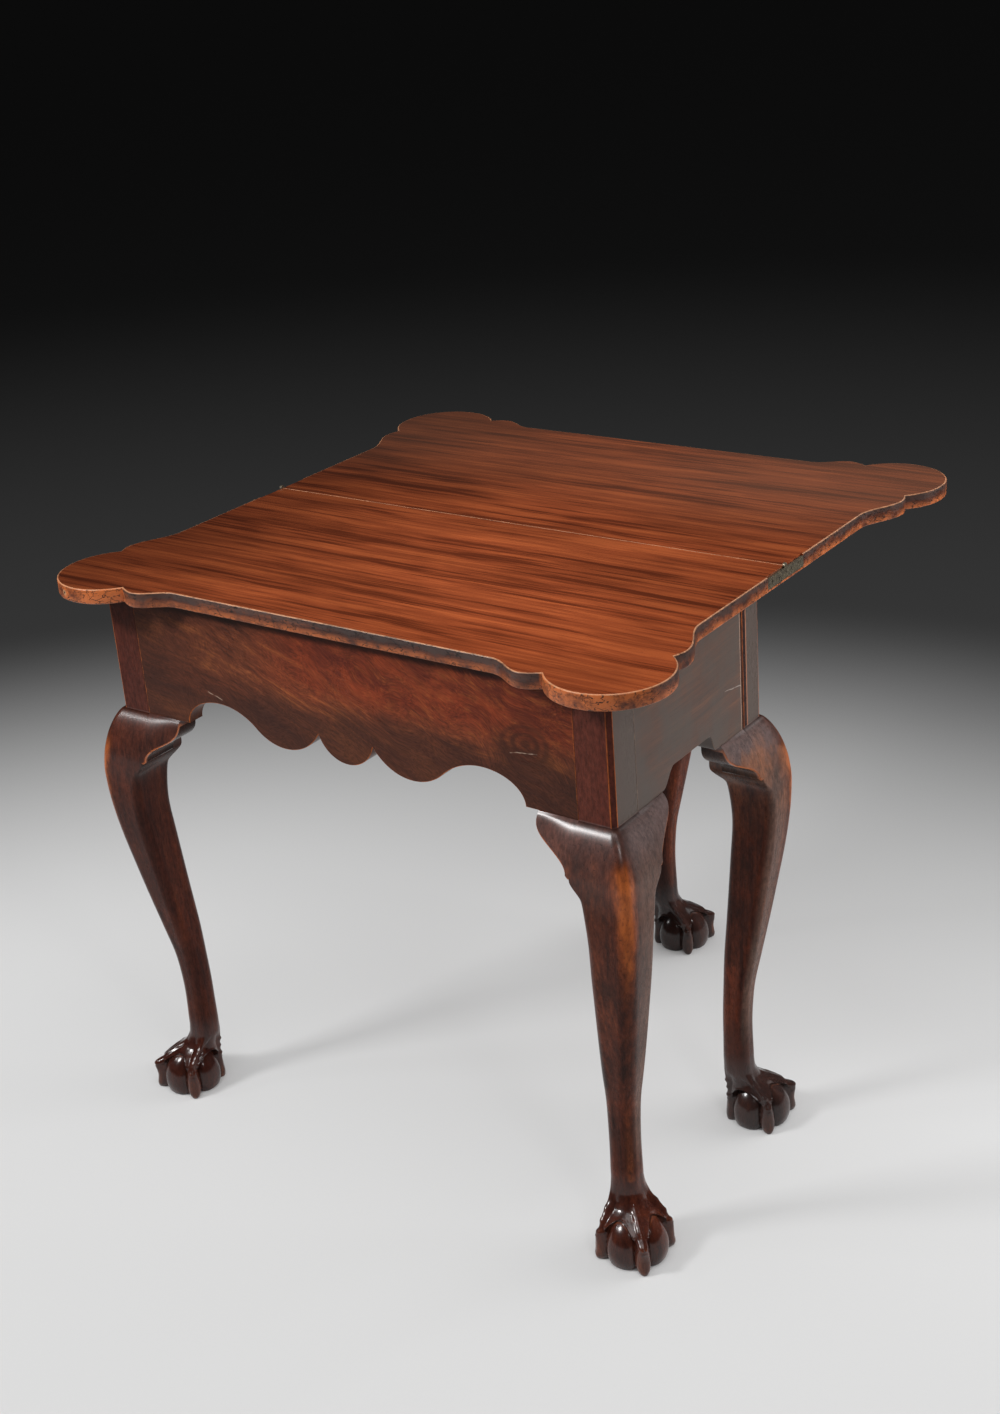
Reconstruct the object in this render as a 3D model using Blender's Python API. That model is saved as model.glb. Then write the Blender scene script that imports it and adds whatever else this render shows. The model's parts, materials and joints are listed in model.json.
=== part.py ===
"""Foldover tea table on cabriole legs, with a leaf that folds and a leg that swings out to carry it.

The table is modelled open, as it is set out for use. +X runs to the right along the front, the front
faces -Y and +Z is up. The origin lies on the floor under the middle of the joint between the two halves
of the top. All sizes are in metres.
"""
import math

import bmesh
import bpy
from mathutils import Matrix, Vector

# Fits
FIT = 0.0003                    # clearance between two pieces that touch
LEAF_JOINT = 0.0004             # open joint between the two halves of the top
SHRINKAGE = 0.0012              # open joint between the side rails and the rear stiles

# Top
TABLE_HEIGHT = 0.715
TOP_WIDTH = 0.822
LEAF_DEPTH = 0.395
TOP_THICKNESS = 0.018
TOP_ARRIS = 0.0016              # rounding of the upper and lower edges
LOBE_RADIUS = 0.0675            # round corner lobes
SIDE_INSET = 0.043              # straight sides lie this far inside the lobes
SIDE_SWELL = 0.0235             # bump beside the lobe, out from the straight side
SIDE_SWELL_FROM_LOBE = 0.0705   # from the lobe's centre to the top of that bump
SIDE_OGEE = 0.067               # run of the curve from the straight side to that bump
SIDE_NOTCH = -50.4              # where the lobe starts, in degrees round its centre
FRONT_INSET = 0.037
FRONT_SWELL = 0.0195
FRONT_SWELL_FROM_LOBE = 0.0765
FRONT_OGEE = 0.047
FRONT_NOTCH = 142.2

# Edge hinges
HINGE_LENGTH = 0.042
HINGE_HEIGHT = 0.0125
HINGE_THICKNESS = 0.0026
HINGE_BELOW_TOP = 0.002         # wood left above a plate
HINGE_EYE_RADIUS = 0.0032
HINGE_PIN_RADIUS = 0.0012
HINGE_AXIS_RISE = 0.00025       # the axis stands this far above the top, so the folded leaf lies just clear
HINGE_SCREW_SPOTS = (0.014, 0.032)  # from the joint along the plate
HINGE_SCREW_HEAD = 0.0030
HINGE_SCREW_SHANK = 0.0013
HINGE_SCREW_LENGTH = 0.012

# Frame
FRAME_WIDTH = 0.700
FRAME_DEPTH = 0.313
BACK_SETBACK = 0.030            # the rear stiles stand this far in front of the joint of the top
STILE = 0.044
STILE_CHAMFER = 0.005           # canted outer corner of every stile
REAR_CHAMFER = 0.004            # canted corner of a rear stile beside the side rail
RAIL_HEIGHT = 0.153
RAIL_THICKNESS = 0.022
TENON_LENGTH = 0.024
TENON_THICKNESS = 0.008
TENON_SHOULDER = 0.018
TENON_SETBACK = 0.007

# Front apron, measured from its middle and from its plain ends
APRON_DROP = 0.003              # the lobes hang this far below the plain ends
APRON_MIDDLE_RADIUS = 0.040
APRON_LOBE_AT = 0.091
APRON_LOBE_RADIUS = 0.061
APRON_ARCH_AT = 0.186
APRON_ARCH_RISE = 0.0345
APRON_ARCH_END = 0.240

# Side rails
SIDE_RISE = 0.021
SIDE_RISE_RUN = 0.028
SIDE_FRONT_LANDING = 0.052
SIDE_REAR_LANDING = 0.066

# Hidden back rail, lap-dovetailed into the side rails
BACK_RAIL_THICKNESS = 0.020
BACK_RAIL_HEIGHT = 0.130
TAIL_COUNT = 3
TAIL_LAP = 0.006
TAIL_WIDTH = 0.024
TAIL_FLARE = 0.004

# Gate: the swinging half of the outer back rail, and the fixed half
GATE_OPENING = 94.0             # degrees that the gate is swung out
GATE_PIVOT_X = 0.002            # the knuckle joint is this far right of the middle
GATE_THICKNESS = 0.025
GATE_HEIGHT = 0.125
GATE_KNUCKLES = 5
GATE_KNUCKLE_RELIEF = 0.002     # from the knuckle's round end to the other rail's shoulder
GATE_PIN_RADIUS = 0.004
BACK_SCREW_SPOTS = (0.070, 0.160, 0.250)  # from the pivot along the fixed half
BACK_SCREW_HEAD = 0.0045
BACK_SCREW_SHANK = 0.0022
BACK_SCREW_LENGTH = 0.036

# Glue blocks
BLOCK_LENGTH = 0.070
BLOCK_SIDE = 0.018
BLOCK_FRONT_AT = 0.160
BLOCK_BACK_AT = 0.200

# Cabriole leg
FOOT_HEIGHT = 0.088
ANKLE_WIDTH = 0.0372
ANKLE_SET_IN = 0.0259           # ankle's centre, in from the stile's outer faces
FOOT_SET_IN = 0.009             # foot's centre, in from the stile's outer faces
# Down the leg: share of the way from the stile to the ankle, how far the outer faces stand out from
# the stile, thickness, and the rounding of the outer ridge and of the other three arrises.
LEG_CURVE = (
    (0.228, 0.0278, 0.0578, 0.013, 0.010),
    (0.290, 0.0260, 0.0550, 0.012, 0.011),
    (0.360, 0.0226, 0.0535, 0.012, 0.012),
    (0.458, 0.0163, 0.0497, 0.011, 0.012),
    (0.575, 0.0082, 0.0447, 0.010, 0.012),
    (0.684, 0.0000, 0.0397, 0.010, 0.012),
    (0.783, -0.0069, 0.0345, 0.010, 0.0140),
    (0.895, -0.0093, 0.0335, 0.013, 0.0155),
)
# Knee: drop below the stile, how far it stands out, and the rounding of its ridge
KNEE_CURVE = (
    (0.014, 0.0123, 0.007),
    (0.039, 0.0218, 0.010),
)
KNEE_OUT = 0.0255               # at the foot of the knee brackets
KNEE_RIDGE = 0.012
KNEE_ARRIS = 0.0008
# Throat, where the inner faces have tucked in below the knee brackets
THROAT_DROP = 0.015
THROAT_OUT = 0.0275
THROAT_THICKNESS = 0.0595
THROAT_ARRIS = 0.007
LEG_RINGS = (0.25, 0.31, 0.39, 0.48, 0.575, 0.67, 0.765, 0.86, 0.935, 1.0)
KNEE_RINGS = (0.12, 0.28, 0.60, 1.0)        # shares of the knee's drop
BELOW_KNEE_RINGS = (0.10, 0.27, 0.60)       # shares of the way on to the first leg ring

# Claw-and-ball foot, by height: shift of the centre from the foot's own centre along the diagonal, the
# reach of the front talon, the front hollows, the side talons, the rear hollows and the rear talon, and
# the angle over which a talon spreads.
FOOT_CURVE = (
    (0.076, -0.0220, 0.0190, 0.0185, 0.0198, 0.0195, 0.0200, 45.0),
    (0.066, -0.0170, 0.0205, 0.0185, 0.0230, 0.0210, 0.0240, 40.0),
    (0.058, -0.0110, 0.0220, 0.0200, 0.0290, 0.0250, 0.0290, 32.0),
    (0.050, -0.0050, 0.0300, 0.0280, 0.0360, 0.0305, 0.0340, 24.0),
    (0.044, -0.0020, 0.0400, 0.0345, 0.0400, 0.0345, 0.0365, 19.0),
    (0.037, 0.0000, 0.0495, 0.0385, 0.0455, 0.0365, 0.0385, 17.0),
    (0.028, 0.0000, 0.0480, 0.0405, 0.0450, 0.0375, 0.0385, 16.0),
    (0.018, 0.0000, 0.0485, 0.0400, 0.0460, 0.0375, 0.0400, 16.0),
    (0.008, 0.0000, 0.0480, 0.0395, 0.0455, 0.0370, 0.0410, 15.0),
    (0.000, 0.0000, 0.0450, 0.0350, 0.0425, 0.0330, 0.0390, 13.0),
)
FOOT_RINGS = (0.078, 0.070, 0.062, 0.055, 0.049, 0.044, 0.040, 0.036, 0.030, 0.020, 0.010, 0.004, 0.0)
CORNER_ANGLES = (0.0, 7.3, 13.0, 22.0, 45.0, 68.0, 77.0, 82.7)  # points of a quarter ring, from a corner

# Knee brackets
EAR_DROP = 0.058
EAR_LENGTH = 0.050
EAR_DEPTH = 0.025
EAR_TIP = 0.008
EAR_LIP = 0.005
EAR_LIP_RISE = 0.003
EAR_SHOULDER = 0.034            # where the bracket's S-curve turns, below its top
EAR_TIP_SHARE = 0.60            # share of the knee's swell that is left at the tip
EAR_STEPS = 8
EAR_LEVELS = (0.0, 0.25, 0.5, 0.7, 0.85, 0.95, 1.0)

# Fineness of the curves, as counts of steps or sides
LOBE_STEPS = 20
SWELL_STEPS = 8
ARRIS_STEPS = 2
HINGE_EYE_SIDES = 20
HINGE_PIN_SIDES = 12
HINGE_SCREW_SIDES = 10
BACK_SCREW_SIDES = 12
GATE_PIN_SIDES = 16
KNUCKLE_STEPS = 12
APRON_MIDDLE_STEPS = 6
APRON_LOBE_STEPS = 12
APRON_ARCH_STEPS = 7
SIDE_RISE_STEPS = 6
SHARP_ANGLE = 40.0              # edges that turn more than this many degrees are shaded sharp

# Finishes: colour, roughness, metallic
TOP_FINISH = ((0.26, 0.075, 0.030), 0.18, 0.0)
FRAME_FINISH = ((0.13, 0.036, 0.016), 0.30, 0.0)
LEG_FINISH = ((0.10, 0.028, 0.014), 0.25, 0.0)
HIDDEN_FINISH = ((0.33, 0.19, 0.09), 0.70, 0.0)
HINGE_FINISH = ((0.10, 0.085, 0.060), 0.45, 1.0)
STEEL_FINISH = ((0.20, 0.18, 0.15), 0.45, 1.0)

# Places worked out from the sizes
UNDERSIDE = TABLE_HEIGHT - TOP_THICKNESS
RAIL_TOP = UNDERSIDE - FIT
RAIL_BOTTOM = RAIL_TOP - RAIL_HEIGHT
SIDE_X = TOP_WIDTH / 2 - SIDE_INSET
HALF_FRAME = FRAME_WIDTH / 2
FRAME_BACK = -BACK_SETBACK
FRAME_FRONT = FRAME_BACK - FRAME_DEPTH
STILE_INNER_X = HALF_FRAME - STILE
REAR_STILE_FRONT = FRAME_BACK - STILE
GATE_FRONT = REAR_STILE_FRONT
GATE_BACK = GATE_FRONT + GATE_THICKNESS
GATE_AXIS_Y = GATE_FRONT + GATE_THICKNESS / 2
GATE_BOTTOM = RAIL_TOP - GATE_HEIGHT
BACK_RAIL_BACK = GATE_FRONT - FIT
BACK_RAIL_FRONT = BACK_RAIL_BACK - BACK_RAIL_THICKNESS
SIDE_RAIL_REAR = REAR_STILE_FRONT - SHRINKAGE
SIDE_RAIL_FRONT = FRAME_FRONT + STILE
HINGE_AXIS_Z = TABLE_HEIGHT + HINGE_AXIS_RISE
EAR_TOP = RAIL_BOTTOM - FIT


def clear_scene():
    for item in list(bpy.data.objects):
        bpy.data.objects.remove(item, do_unlink=True)


# Shapes


def loft(rings):
    """A closed skin through rings of points, with a flat cap at each end."""
    shape = bmesh.new()
    loops = [[shape.verts.new(point) for point in ring] for ring in rings]
    count = len(loops[0])
    for low, high in zip(loops, loops[1:]):
        for i in range(count):
            j = (i + 1) % count
            shape.faces.new((low[i], low[j], high[j], high[i]))
    shape.faces.new(list(reversed(loops[0])))
    shape.faces.new(loops[-1])
    bmesh.ops.recalc_face_normals(shape, faces=shape.faces)
    return shape


def prism(outline, run):
    """An outline of points pushed along the vector run."""
    run = Vector(run)
    return loft([outline, [Vector(point) + run for point in outline]])


def box(low, high):
    corners = [(low[0], low[1]), (high[0], low[1]), (high[0], high[1]), (low[0], high[1])]
    return prism([(x, y, low[2]) for x, y in corners], (0, 0, high[2] - low[2]))


def turned(profile, start, direction, sides):
    """A round piece from (distance along the axis, radius) pairs."""
    turn = Vector(direction).to_track_quat("Z", "Y").to_matrix()
    rings = []
    for along, radius in profile:
        angles = [2 * math.pi * i / sides for i in range(sides)]
        ring = [Vector((radius * math.cos(a), radius * math.sin(a), along)) for a in angles]
        rings.append([Vector(start) + turn @ point for point in ring])
    return loft(rings)


def screw_profile(head, shank, length, grow=0.0):
    """A countersunk screw from its head inwards."""
    head_depth = head - shank
    return ((-grow, head + grow), (head_depth, shank + grow), (length - shank, shank + grow),
            (length + grow, shank / 2 + grow))


def merged(shapes):
    whole = bmesh.new()
    for shape in shapes:
        mesh = bpy.data.meshes.new("merged")
        shape.to_mesh(mesh)
        shape.free()
        whole.from_mesh(mesh)
        bpy.data.meshes.remove(mesh)
    return whole


def boolean(base, tools, operation):
    """The base after one Boolean with tools that don't touch each other."""
    helpers = []
    for name, shape in (("base", base), ("tool", merged(tools))):
        mesh = bpy.data.meshes.new(name)
        shape.to_mesh(mesh)
        shape.free()
        helper = bpy.data.objects.new(name, mesh)
        bpy.context.collection.objects.link(helper)
        helpers.append(helper)
    modifier = helpers[0].modifiers.new("cut", "BOOLEAN")
    modifier.operation = operation
    modifier.solver = "EXACT"
    modifier.object = helpers[1]
    evaluated = helpers[0].evaluated_get(bpy.context.evaluated_depsgraph_get())
    result = bmesh.new()
    result.from_mesh(evaluated.to_mesh())
    evaluated.to_mesh_clear()
    for helper in helpers:
        mesh = helper.data
        bpy.data.objects.remove(helper, do_unlink=True)
        bpy.data.meshes.remove(mesh)
    return result


def cut(base, *tools):
    return boolean(base, tools, "DIFFERENCE")


def join(base, *tools):
    return boolean(base, tools, "UNION")


def mirrored(points, sign_x, sign_y):
    return [Vector((point[0] * sign_x, point[1] * sign_y, point[2])) for point in points]


def finish_material(name, finish):
    colour, roughness, metallic = finish
    material = bpy.data.materials.new(name)
    material.use_nodes = True
    shader = material.node_tree.nodes["Principled BSDF"]
    shader.inputs["Base Color"].default_value = (*colour, 1.0)
    shader.inputs["Roughness"].default_value = roughness
    shader.inputs["Metallic"].default_value = metallic
    return material


def add_piece(name, shape, finish, pivot=None):
    """A named object. A piece on a pivot gets its origin there, and moves with it."""
    if pivot is not None:
        shape.transform(Matrix.Translation(-pivot.location))
    mesh = bpy.data.meshes.new(name)
    shape.to_mesh(mesh)
    shape.free()
    mesh.shade_smooth()
    mesh.set_sharp_from_angle(angle=math.radians(SHARP_ANGLE))
    mesh.materials.append(finish_material(name, finish))
    piece = bpy.data.objects.new(name, mesh)
    bpy.context.collection.objects.link(piece)
    piece.parent = pivot
    return piece


def add_pivot(name, place):
    pivot = bpy.data.objects.new(name, None)
    pivot.location = place
    bpy.context.collection.objects.link(pivot)
    return pivot


# Curves


def arc(centre, radius, start, end, steps):
    """Points round a circle from one angle to another, in radians, both ends included."""
    angles = [start + (end - start) * i / steps for i in range(steps + 1)]
    return [(centre[0] + radius * math.cos(a), centre[1] + radius * math.sin(a)) for a in angles]


def ease(share):
    """From 0 to 1, level at both ends."""
    return (1 - math.cos(math.pi * share)) / 2


def smooth_through(rows, at):
    """Values at a place between rows of (place, value, ...), on a curve that never overshoots them."""
    rows = sorted(rows)
    at = min(max(at, rows[0][0]), rows[-1][0])
    index = 0
    while index < len(rows) - 2 and at > rows[index + 1][0]:
        index += 1
    values = []
    for column in range(1, len(rows[0])):
        places = [row[0] for row in rows]
        heights = [row[column] for row in rows]
        slopes = [(heights[i + 1] - heights[i]) / (places[i + 1] - places[i]) for i in range(len(rows) - 1)]
        span = places[index + 1] - places[index]
        share = (at - places[index]) / span
        start_slope = shared_slope(slopes, index)
        end_slope = shared_slope(slopes, index + 1)
        start = (heights[index] * (1 + 2 * share) + span * start_slope * share) * (1 - share) ** 2
        end = (heights[index + 1] * (3 - 2 * share) + span * end_slope * (share - 1)) * share ** 2
        values.append(start + end)
    return values


def shared_slope(slopes, index):
    """The slope of the curve at a row, from the slopes on either side of it."""
    if index == 0 or index == len(slopes):
        return slopes[min(index, len(slopes) - 1)]
    before, after = slopes[index - 1], slopes[index]
    if before * after <= 0:
        return 0.0
    return 2 * before * after / (before + after)


# Top


def swelled_edge(straight, peak, run, notch, steps):
    """From a straight edge out to a bump and in to a notch, as (along, out) points."""
    points = [(peak[0] - run * (1 - i / steps), straight + (peak[1] - straight) * ease(i / steps))
              for i in range(steps)]
    hook = steps // 2
    for i in range(hook + 1):
        share = i / hook
        drop = 1 - math.cos(math.pi / 2 * share)
        points.append((peak[0] + (notch[0] - peak[0]) * share, peak[1] + (notch[1] - peak[1]) * drop))
    return points


def half_leaf_outline():
    """Right half of a leaf, from the joint line round to the middle of its long edge."""
    centre = (TOP_WIDTH / 2 - LOBE_RADIUS, LEAF_DEPTH - LOBE_RADIUS)
    lobe = arc(centre, LOBE_RADIUS, math.radians(SIDE_NOTCH), math.radians(FRONT_NOTCH), LOBE_STEPS)
    side_peak = (centre[1] - SIDE_SWELL_FROM_LOBE, SIDE_X + SIDE_SWELL)
    side = swelled_edge(SIDE_X, side_peak, SIDE_OGEE, (lobe[0][1], lobe[0][0]), SWELL_STEPS)
    front_y = LEAF_DEPTH - FRONT_INSET
    front_peak = (centre[0] - FRONT_SWELL_FROM_LOBE, front_y + FRONT_SWELL)
    front = swelled_edge(front_y, front_peak, FRONT_OGEE, lobe[-1], SWELL_STEPS)
    outline = [(SIDE_X, LEAF_JOINT / 2)]
    outline += [(out, along) for along, out in side]
    outline += lobe[1:-1]
    outline += list(reversed(front))
    return outline


def leaf_shape(sign_y):
    right = half_leaf_outline()
    left = [(-x, y) for x, y in reversed(right)]
    outline = [(x, sign_y * y, UNDERSIDE) for x, y in right + left]
    shape = prism(outline, (0, 0, TOP_THICKNESS))
    joint_y = LEAF_JOINT / 2 + FIT
    rims = [edge for edge in shape.edges
            if abs(edge.verts[0].co.z - edge.verts[1].co.z) < FIT
            and max(abs(vert.co.y) for vert in edge.verts) > joint_y]
    bmesh.ops.bevel(shape, geom=rims, offset=TOP_ARRIS, segments=ARRIS_STEPS, profile=0.5, affect="EDGES")
    return shape


def hinge_tools(side, sign_y):
    """The cuts that a leaf needs for one hinge plate: the recess, the eye and the screw holes."""
    outer = side * (SIDE_X + HINGE_THICKNESS)
    inner = side * (SIDE_X - HINGE_THICKNESS - FIT)
    low_x, high_x = min(outer, inner), max(outer, inner)
    top = TABLE_HEIGHT - HINGE_BELOW_TOP
    ends = sorted((-sign_y * HINGE_LENGTH / 2, sign_y * (HINGE_LENGTH + FIT)))
    recess = box((low_x, ends[0], top - HINGE_HEIGHT - FIT), (high_x, ends[1], top + FIT))
    eye = turned(((0, HINGE_EYE_RADIUS + FIT), (high_x - low_x, HINGE_EYE_RADIUS + FIT)),
                 (low_x, 0, HINGE_AXIS_Z), (1, 0, 0), HINGE_EYE_SIDES)
    holes = [turned(screw_profile(HINGE_SCREW_HEAD, HINGE_SCREW_SHANK, HINGE_SCREW_LENGTH, FIT),
                    place, (-side, 0, 0), HINGE_SCREW_SIDES) for place in hinge_screw_places(side, sign_y)]
    return recess, eye, holes


def hinge_screw_places(side, sign_y):
    height = TABLE_HEIGHT - HINGE_BELOW_TOP - HINGE_HEIGHT / 2
    return [Vector((side * SIDE_X, sign_y * spot, height)) for spot in HINGE_SCREW_SPOTS]


def build_leaf(name, sign_y, pivot):
    shape = leaf_shape(sign_y)
    for side in (-1, 1):
        recess, eye, holes = hinge_tools(side, sign_y)
        shape = cut(shape, recess)
        shape = cut(shape, eye)
        shape = cut(shape, *holes)
    add_piece(name, shape, TOP_FINISH, pivot)


def hinge_plate_shape(side, sign_y):
    """A plate with a half-thickness eye. The fixed plate has the outer half of the knuckle."""
    half = HINGE_THICKNESS / 2
    top = TABLE_HEIGHT - HINGE_BELOW_TOP
    ends = sorted((sign_y * LEAF_JOINT, sign_y * HINGE_LENGTH))
    sides = sorted((side * (SIDE_X - HINGE_THICKNESS), side * SIDE_X))
    plate = box((sides[0], ends[0], top - HINGE_HEIGHT), (sides[1], ends[1], top))
    own, other = ((half + FIT / 2, 2 * half), (-half, half + FIT / 2))
    if sign_y > 0:
        own, other = ((0, half - FIT / 2), (half - FIT / 2, 3 * half))
    start = Vector((side * (SIDE_X - HINGE_THICKNESS), 0, HINGE_AXIS_Z))
    axis = Vector((side, 0, 0))
    relief = HINGE_EYE_RADIUS + FIT
    hollow = turned(((other[0], relief), (other[1], relief)), start, axis, HINGE_EYE_SIDES)
    plate = cut(plate, hollow)
    eye = turned(((own[0], HINGE_EYE_RADIUS), (own[1], HINGE_EYE_RADIUS)), start, axis, HINGE_EYE_SIDES)
    plate = join(plate, eye)
    bore = HINGE_PIN_RADIUS + FIT
    plate = cut(plate, turned(((-half, bore), (3 * half, bore)), start, axis, HINGE_PIN_SIDES))
    holes = [turned(screw_profile(HINGE_SCREW_HEAD, HINGE_SCREW_SHANK, HINGE_SCREW_LENGTH, FIT),
                    place, (-side, 0, 0), HINGE_SCREW_SIDES) for place in hinge_screw_places(side, sign_y)]
    return cut(plate, *holes)


def build_hinges(leaf_pivot):
    for side, word in ((-1, "left"), (1, "right")):
        start = (side * (SIDE_X - HINGE_THICKNESS), 0, HINGE_AXIS_Z)
        pin = turned(((0, HINGE_PIN_RADIUS), (HINGE_THICKNESS, HINGE_PIN_RADIUS)), start, (side, 0, 0),
                     HINGE_PIN_SIDES)
        add_piece(f"{word}_hinge_pin", pin, HINGE_FINISH)
        for sign_y, half, pivot in ((-1, "fixed", None), (1, "leaf", leaf_pivot)):
            add_piece(f"{word}_hinge_{half}_plate", hinge_plate_shape(side, sign_y), HINGE_FINISH, pivot)
            for number, place in enumerate(hinge_screw_places(side, sign_y), 1):
                screw = turned(screw_profile(HINGE_SCREW_HEAD, HINGE_SCREW_SHANK, HINGE_SCREW_LENGTH),
                               place, (-side, 0, 0), HINGE_SCREW_SIDES)
                add_piece(f"{word}_hinge_{half}_screw_{number}", screw, HINGE_FINISH, pivot)


# Frame


def tenon(axis, start, sign, face, bottom, top, grow=0.0):
    """A tenon, or its mortise when it grows. axis is the way it runs, face the first of its two sides."""
    low = [0.0, 0.0, bottom + TENON_SHOULDER - grow]
    high = [0.0, 0.0, top - TENON_SHOULDER + grow]
    ends = sorted((start - sign * TENON_LENGTH / 2, start + sign * (TENON_LENGTH + grow)))
    other = 1 - axis
    low[axis], high[axis] = ends
    low[other], high[other] = face - grow, face + TENON_THICKNESS + grow
    return box(low, high)


def apron_tenon(side, grow=0.0):
    face = FRAME_FRONT + TENON_SETBACK
    return tenon(0, side * STILE_INNER_X, side, face, RAIL_BOTTOM, RAIL_TOP, grow)


def side_tenon(side, grow=0.0):
    face = HALF_FRAME - TENON_SETBACK - TENON_THICKNESS
    if side < 0:
        face = -HALF_FRAME + TENON_SETBACK
    return tenon(1, SIDE_RAIL_FRONT, -1, face, RAIL_BOTTOM, RAIL_TOP, grow)


def gate_tenon(side, grow=0.0):
    face = GATE_AXIS_Y - TENON_THICKNESS / 2
    return tenon(0, side * STILE_INNER_X, side, face, GATE_BOTTOM, RAIL_TOP, grow)


def circles_cross(first, first_radius, second, second_radius):
    """The upper of the two points where two circles cross."""
    gap = Vector(second) - Vector(first)
    along = (gap.length_squared + first_radius ** 2 - second_radius ** 2) / (2 * gap.length)
    across = math.sqrt(first_radius ** 2 - along ** 2)
    way = gap.normalized()
    return Vector(first) + way * along + Vector((-way.y, way.x)) * across


def angle_from(centre, point):
    return math.atan2(point[1] - centre[1], point[0] - centre[0])


def half_apron_edge():
    """Lower edge of the apron's right half, from the middle outwards, with heights from its plain end."""
    middle = (0.0, APRON_MIDDLE_RADIUS - APRON_DROP)
    lobe = (APRON_LOBE_AT, APRON_LOBE_RADIUS - APRON_DROP)
    rise = lobe[1] - APRON_ARCH_RISE
    reach = APRON_ARCH_AT - APRON_LOBE_AT
    arch_radius = (reach ** 2 + rise ** 2 - APRON_LOBE_RADIUS ** 2) / (2 * (APRON_LOBE_RADIUS - rise))
    arch = (APRON_ARCH_AT, APRON_ARCH_RISE - arch_radius)
    cusp = circles_cross(middle, APRON_MIDDLE_RADIUS, lobe, APRON_LOBE_RADIUS)
    if cusp.y > middle[1]:
        cusp = Vector((APRON_MIDDLE_RADIUS, middle[1]))
    meet = Vector(lobe).lerp(Vector(arch), APRON_LOBE_RADIUS / (APRON_LOBE_RADIUS + arch_radius))
    down = -math.pi / 2
    lobe_start = angle_from(lobe, cusp)
    if lobe_start > 0:
        lobe_start -= 2 * math.pi
    points = arc(middle, APRON_MIDDLE_RADIUS, down, angle_from(middle, cusp), APRON_MIDDLE_STEPS)
    points += arc(lobe, APRON_LOBE_RADIUS, lobe_start, angle_from(lobe, meet), APRON_LOBE_STEPS)[1:]
    points += arc(arch, arch_radius, angle_from(arch, meet), math.pi / 2, APRON_ARCH_STEPS)[1:]
    run = APRON_ARCH_END - APRON_ARCH_AT
    for i in range(1, APRON_ARCH_STEPS + 1):
        share = math.pi / 2 * i / APRON_ARCH_STEPS
        points.append((APRON_ARCH_AT + run * math.sin(share), APRON_ARCH_RISE * math.cos(share)))
    return points


def build_front_apron():
    half = half_apron_edge()
    end = STILE_INNER_X - FIT
    right = half + [(end, 0.0)]
    left = [(-x, z) for x, z in reversed(right)]
    height = RAIL_TOP - RAIL_BOTTOM
    outline = left + right[1:] + [(end, height), (-end, height)]
    points = [(x, FRAME_FRONT, RAIL_BOTTOM + z) for x, z in outline]
    shape = prism(points, (0, RAIL_THICKNESS, 0))
    add_piece("front_apron", join(shape, apron_tenon(-1), apron_tenon(1)), FRAME_FINISH)


def side_rail_shape(side):
    start = SIDE_RAIL_FRONT + FIT
    rise_start = SIDE_RAIL_FRONT + SIDE_FRONT_LANDING
    rise_end = SIDE_RAIL_REAR - SIDE_REAR_LANDING
    shares = [i / SIDE_RISE_STEPS for i in range(SIDE_RISE_STEPS + 1)]
    rise = [(SIDE_RISE_RUN * share, SIDE_RISE * ease(share)) for share in shares]
    edge = [(start, 0.0)]
    edge += [(rise_start + run, height) for run, height in rise]
    edge += [(rise_end - run, height) for run, height in reversed(rise)]
    edge += [(SIDE_RAIL_REAR, 0.0)]
    height = RAIL_TOP - RAIL_BOTTOM
    outline = edge + [(SIDE_RAIL_REAR, height), (start, height)]
    points = [(side * HALF_FRAME, y, RAIL_BOTTOM + z) for y, z in outline]
    shape = prism(points, (-side * RAIL_THICKNESS, 0, 0))
    return join(shape, side_tenon(side))


def dovetail(side, number, grow=0.0):
    """One tail of the hidden back rail, or its socket when it grows."""
    pitch = BACK_RAIL_HEIGHT / TAIL_COUNT
    middle = RAIL_TOP - BACK_RAIL_HEIGHT + pitch * (number + 0.5)
    root = HALF_FRAME - RAIL_THICKNESS - FIT
    tip = HALF_FRAME - TAIL_LAP
    narrow = TAIL_WIDTH / 2 + grow
    wide = narrow + TAIL_FLARE
    front = BACK_RAIL_FRONT - grow
    depth = BACK_RAIL_THICKNESS + grow + (TAIL_LAP if grow else 0.0)
    behind = TAIL_LAP
    slope = (wide - narrow) / (tip - root)
    outline = [(root - behind, narrow - slope * behind), (tip + grow, wide + slope * grow)]
    corners = [outline[0], outline[1], (outline[1][0], -outline[1][1]), (outline[0][0], -outline[0][1])]
    points = [(side * x, front, middle + z) for x, z in corners]
    return prism(points, (0, depth, 0))


def build_side_rails():
    for side, word in ((-1, "left"), (1, "right")):
        shape = side_rail_shape(side)
        sockets = [dovetail(side, number, FIT) for number in range(TAIL_COUNT)]
        add_piece(f"{word}_side_rail", cut(shape, *sockets), FRAME_FINISH)


def back_screw_places():
    height = (GATE_BOTTOM + RAIL_TOP) / 2
    return [Vector((GATE_PIVOT_X + spot, GATE_BACK, height)) for spot in BACK_SCREW_SPOTS]


def back_screws(grow=0.0):
    profile = screw_profile(BACK_SCREW_HEAD, BACK_SCREW_SHANK, BACK_SCREW_LENGTH, grow)
    return [turned(profile, place, (0, -1, 0), BACK_SCREW_SIDES) for place in back_screw_places()]


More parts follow.
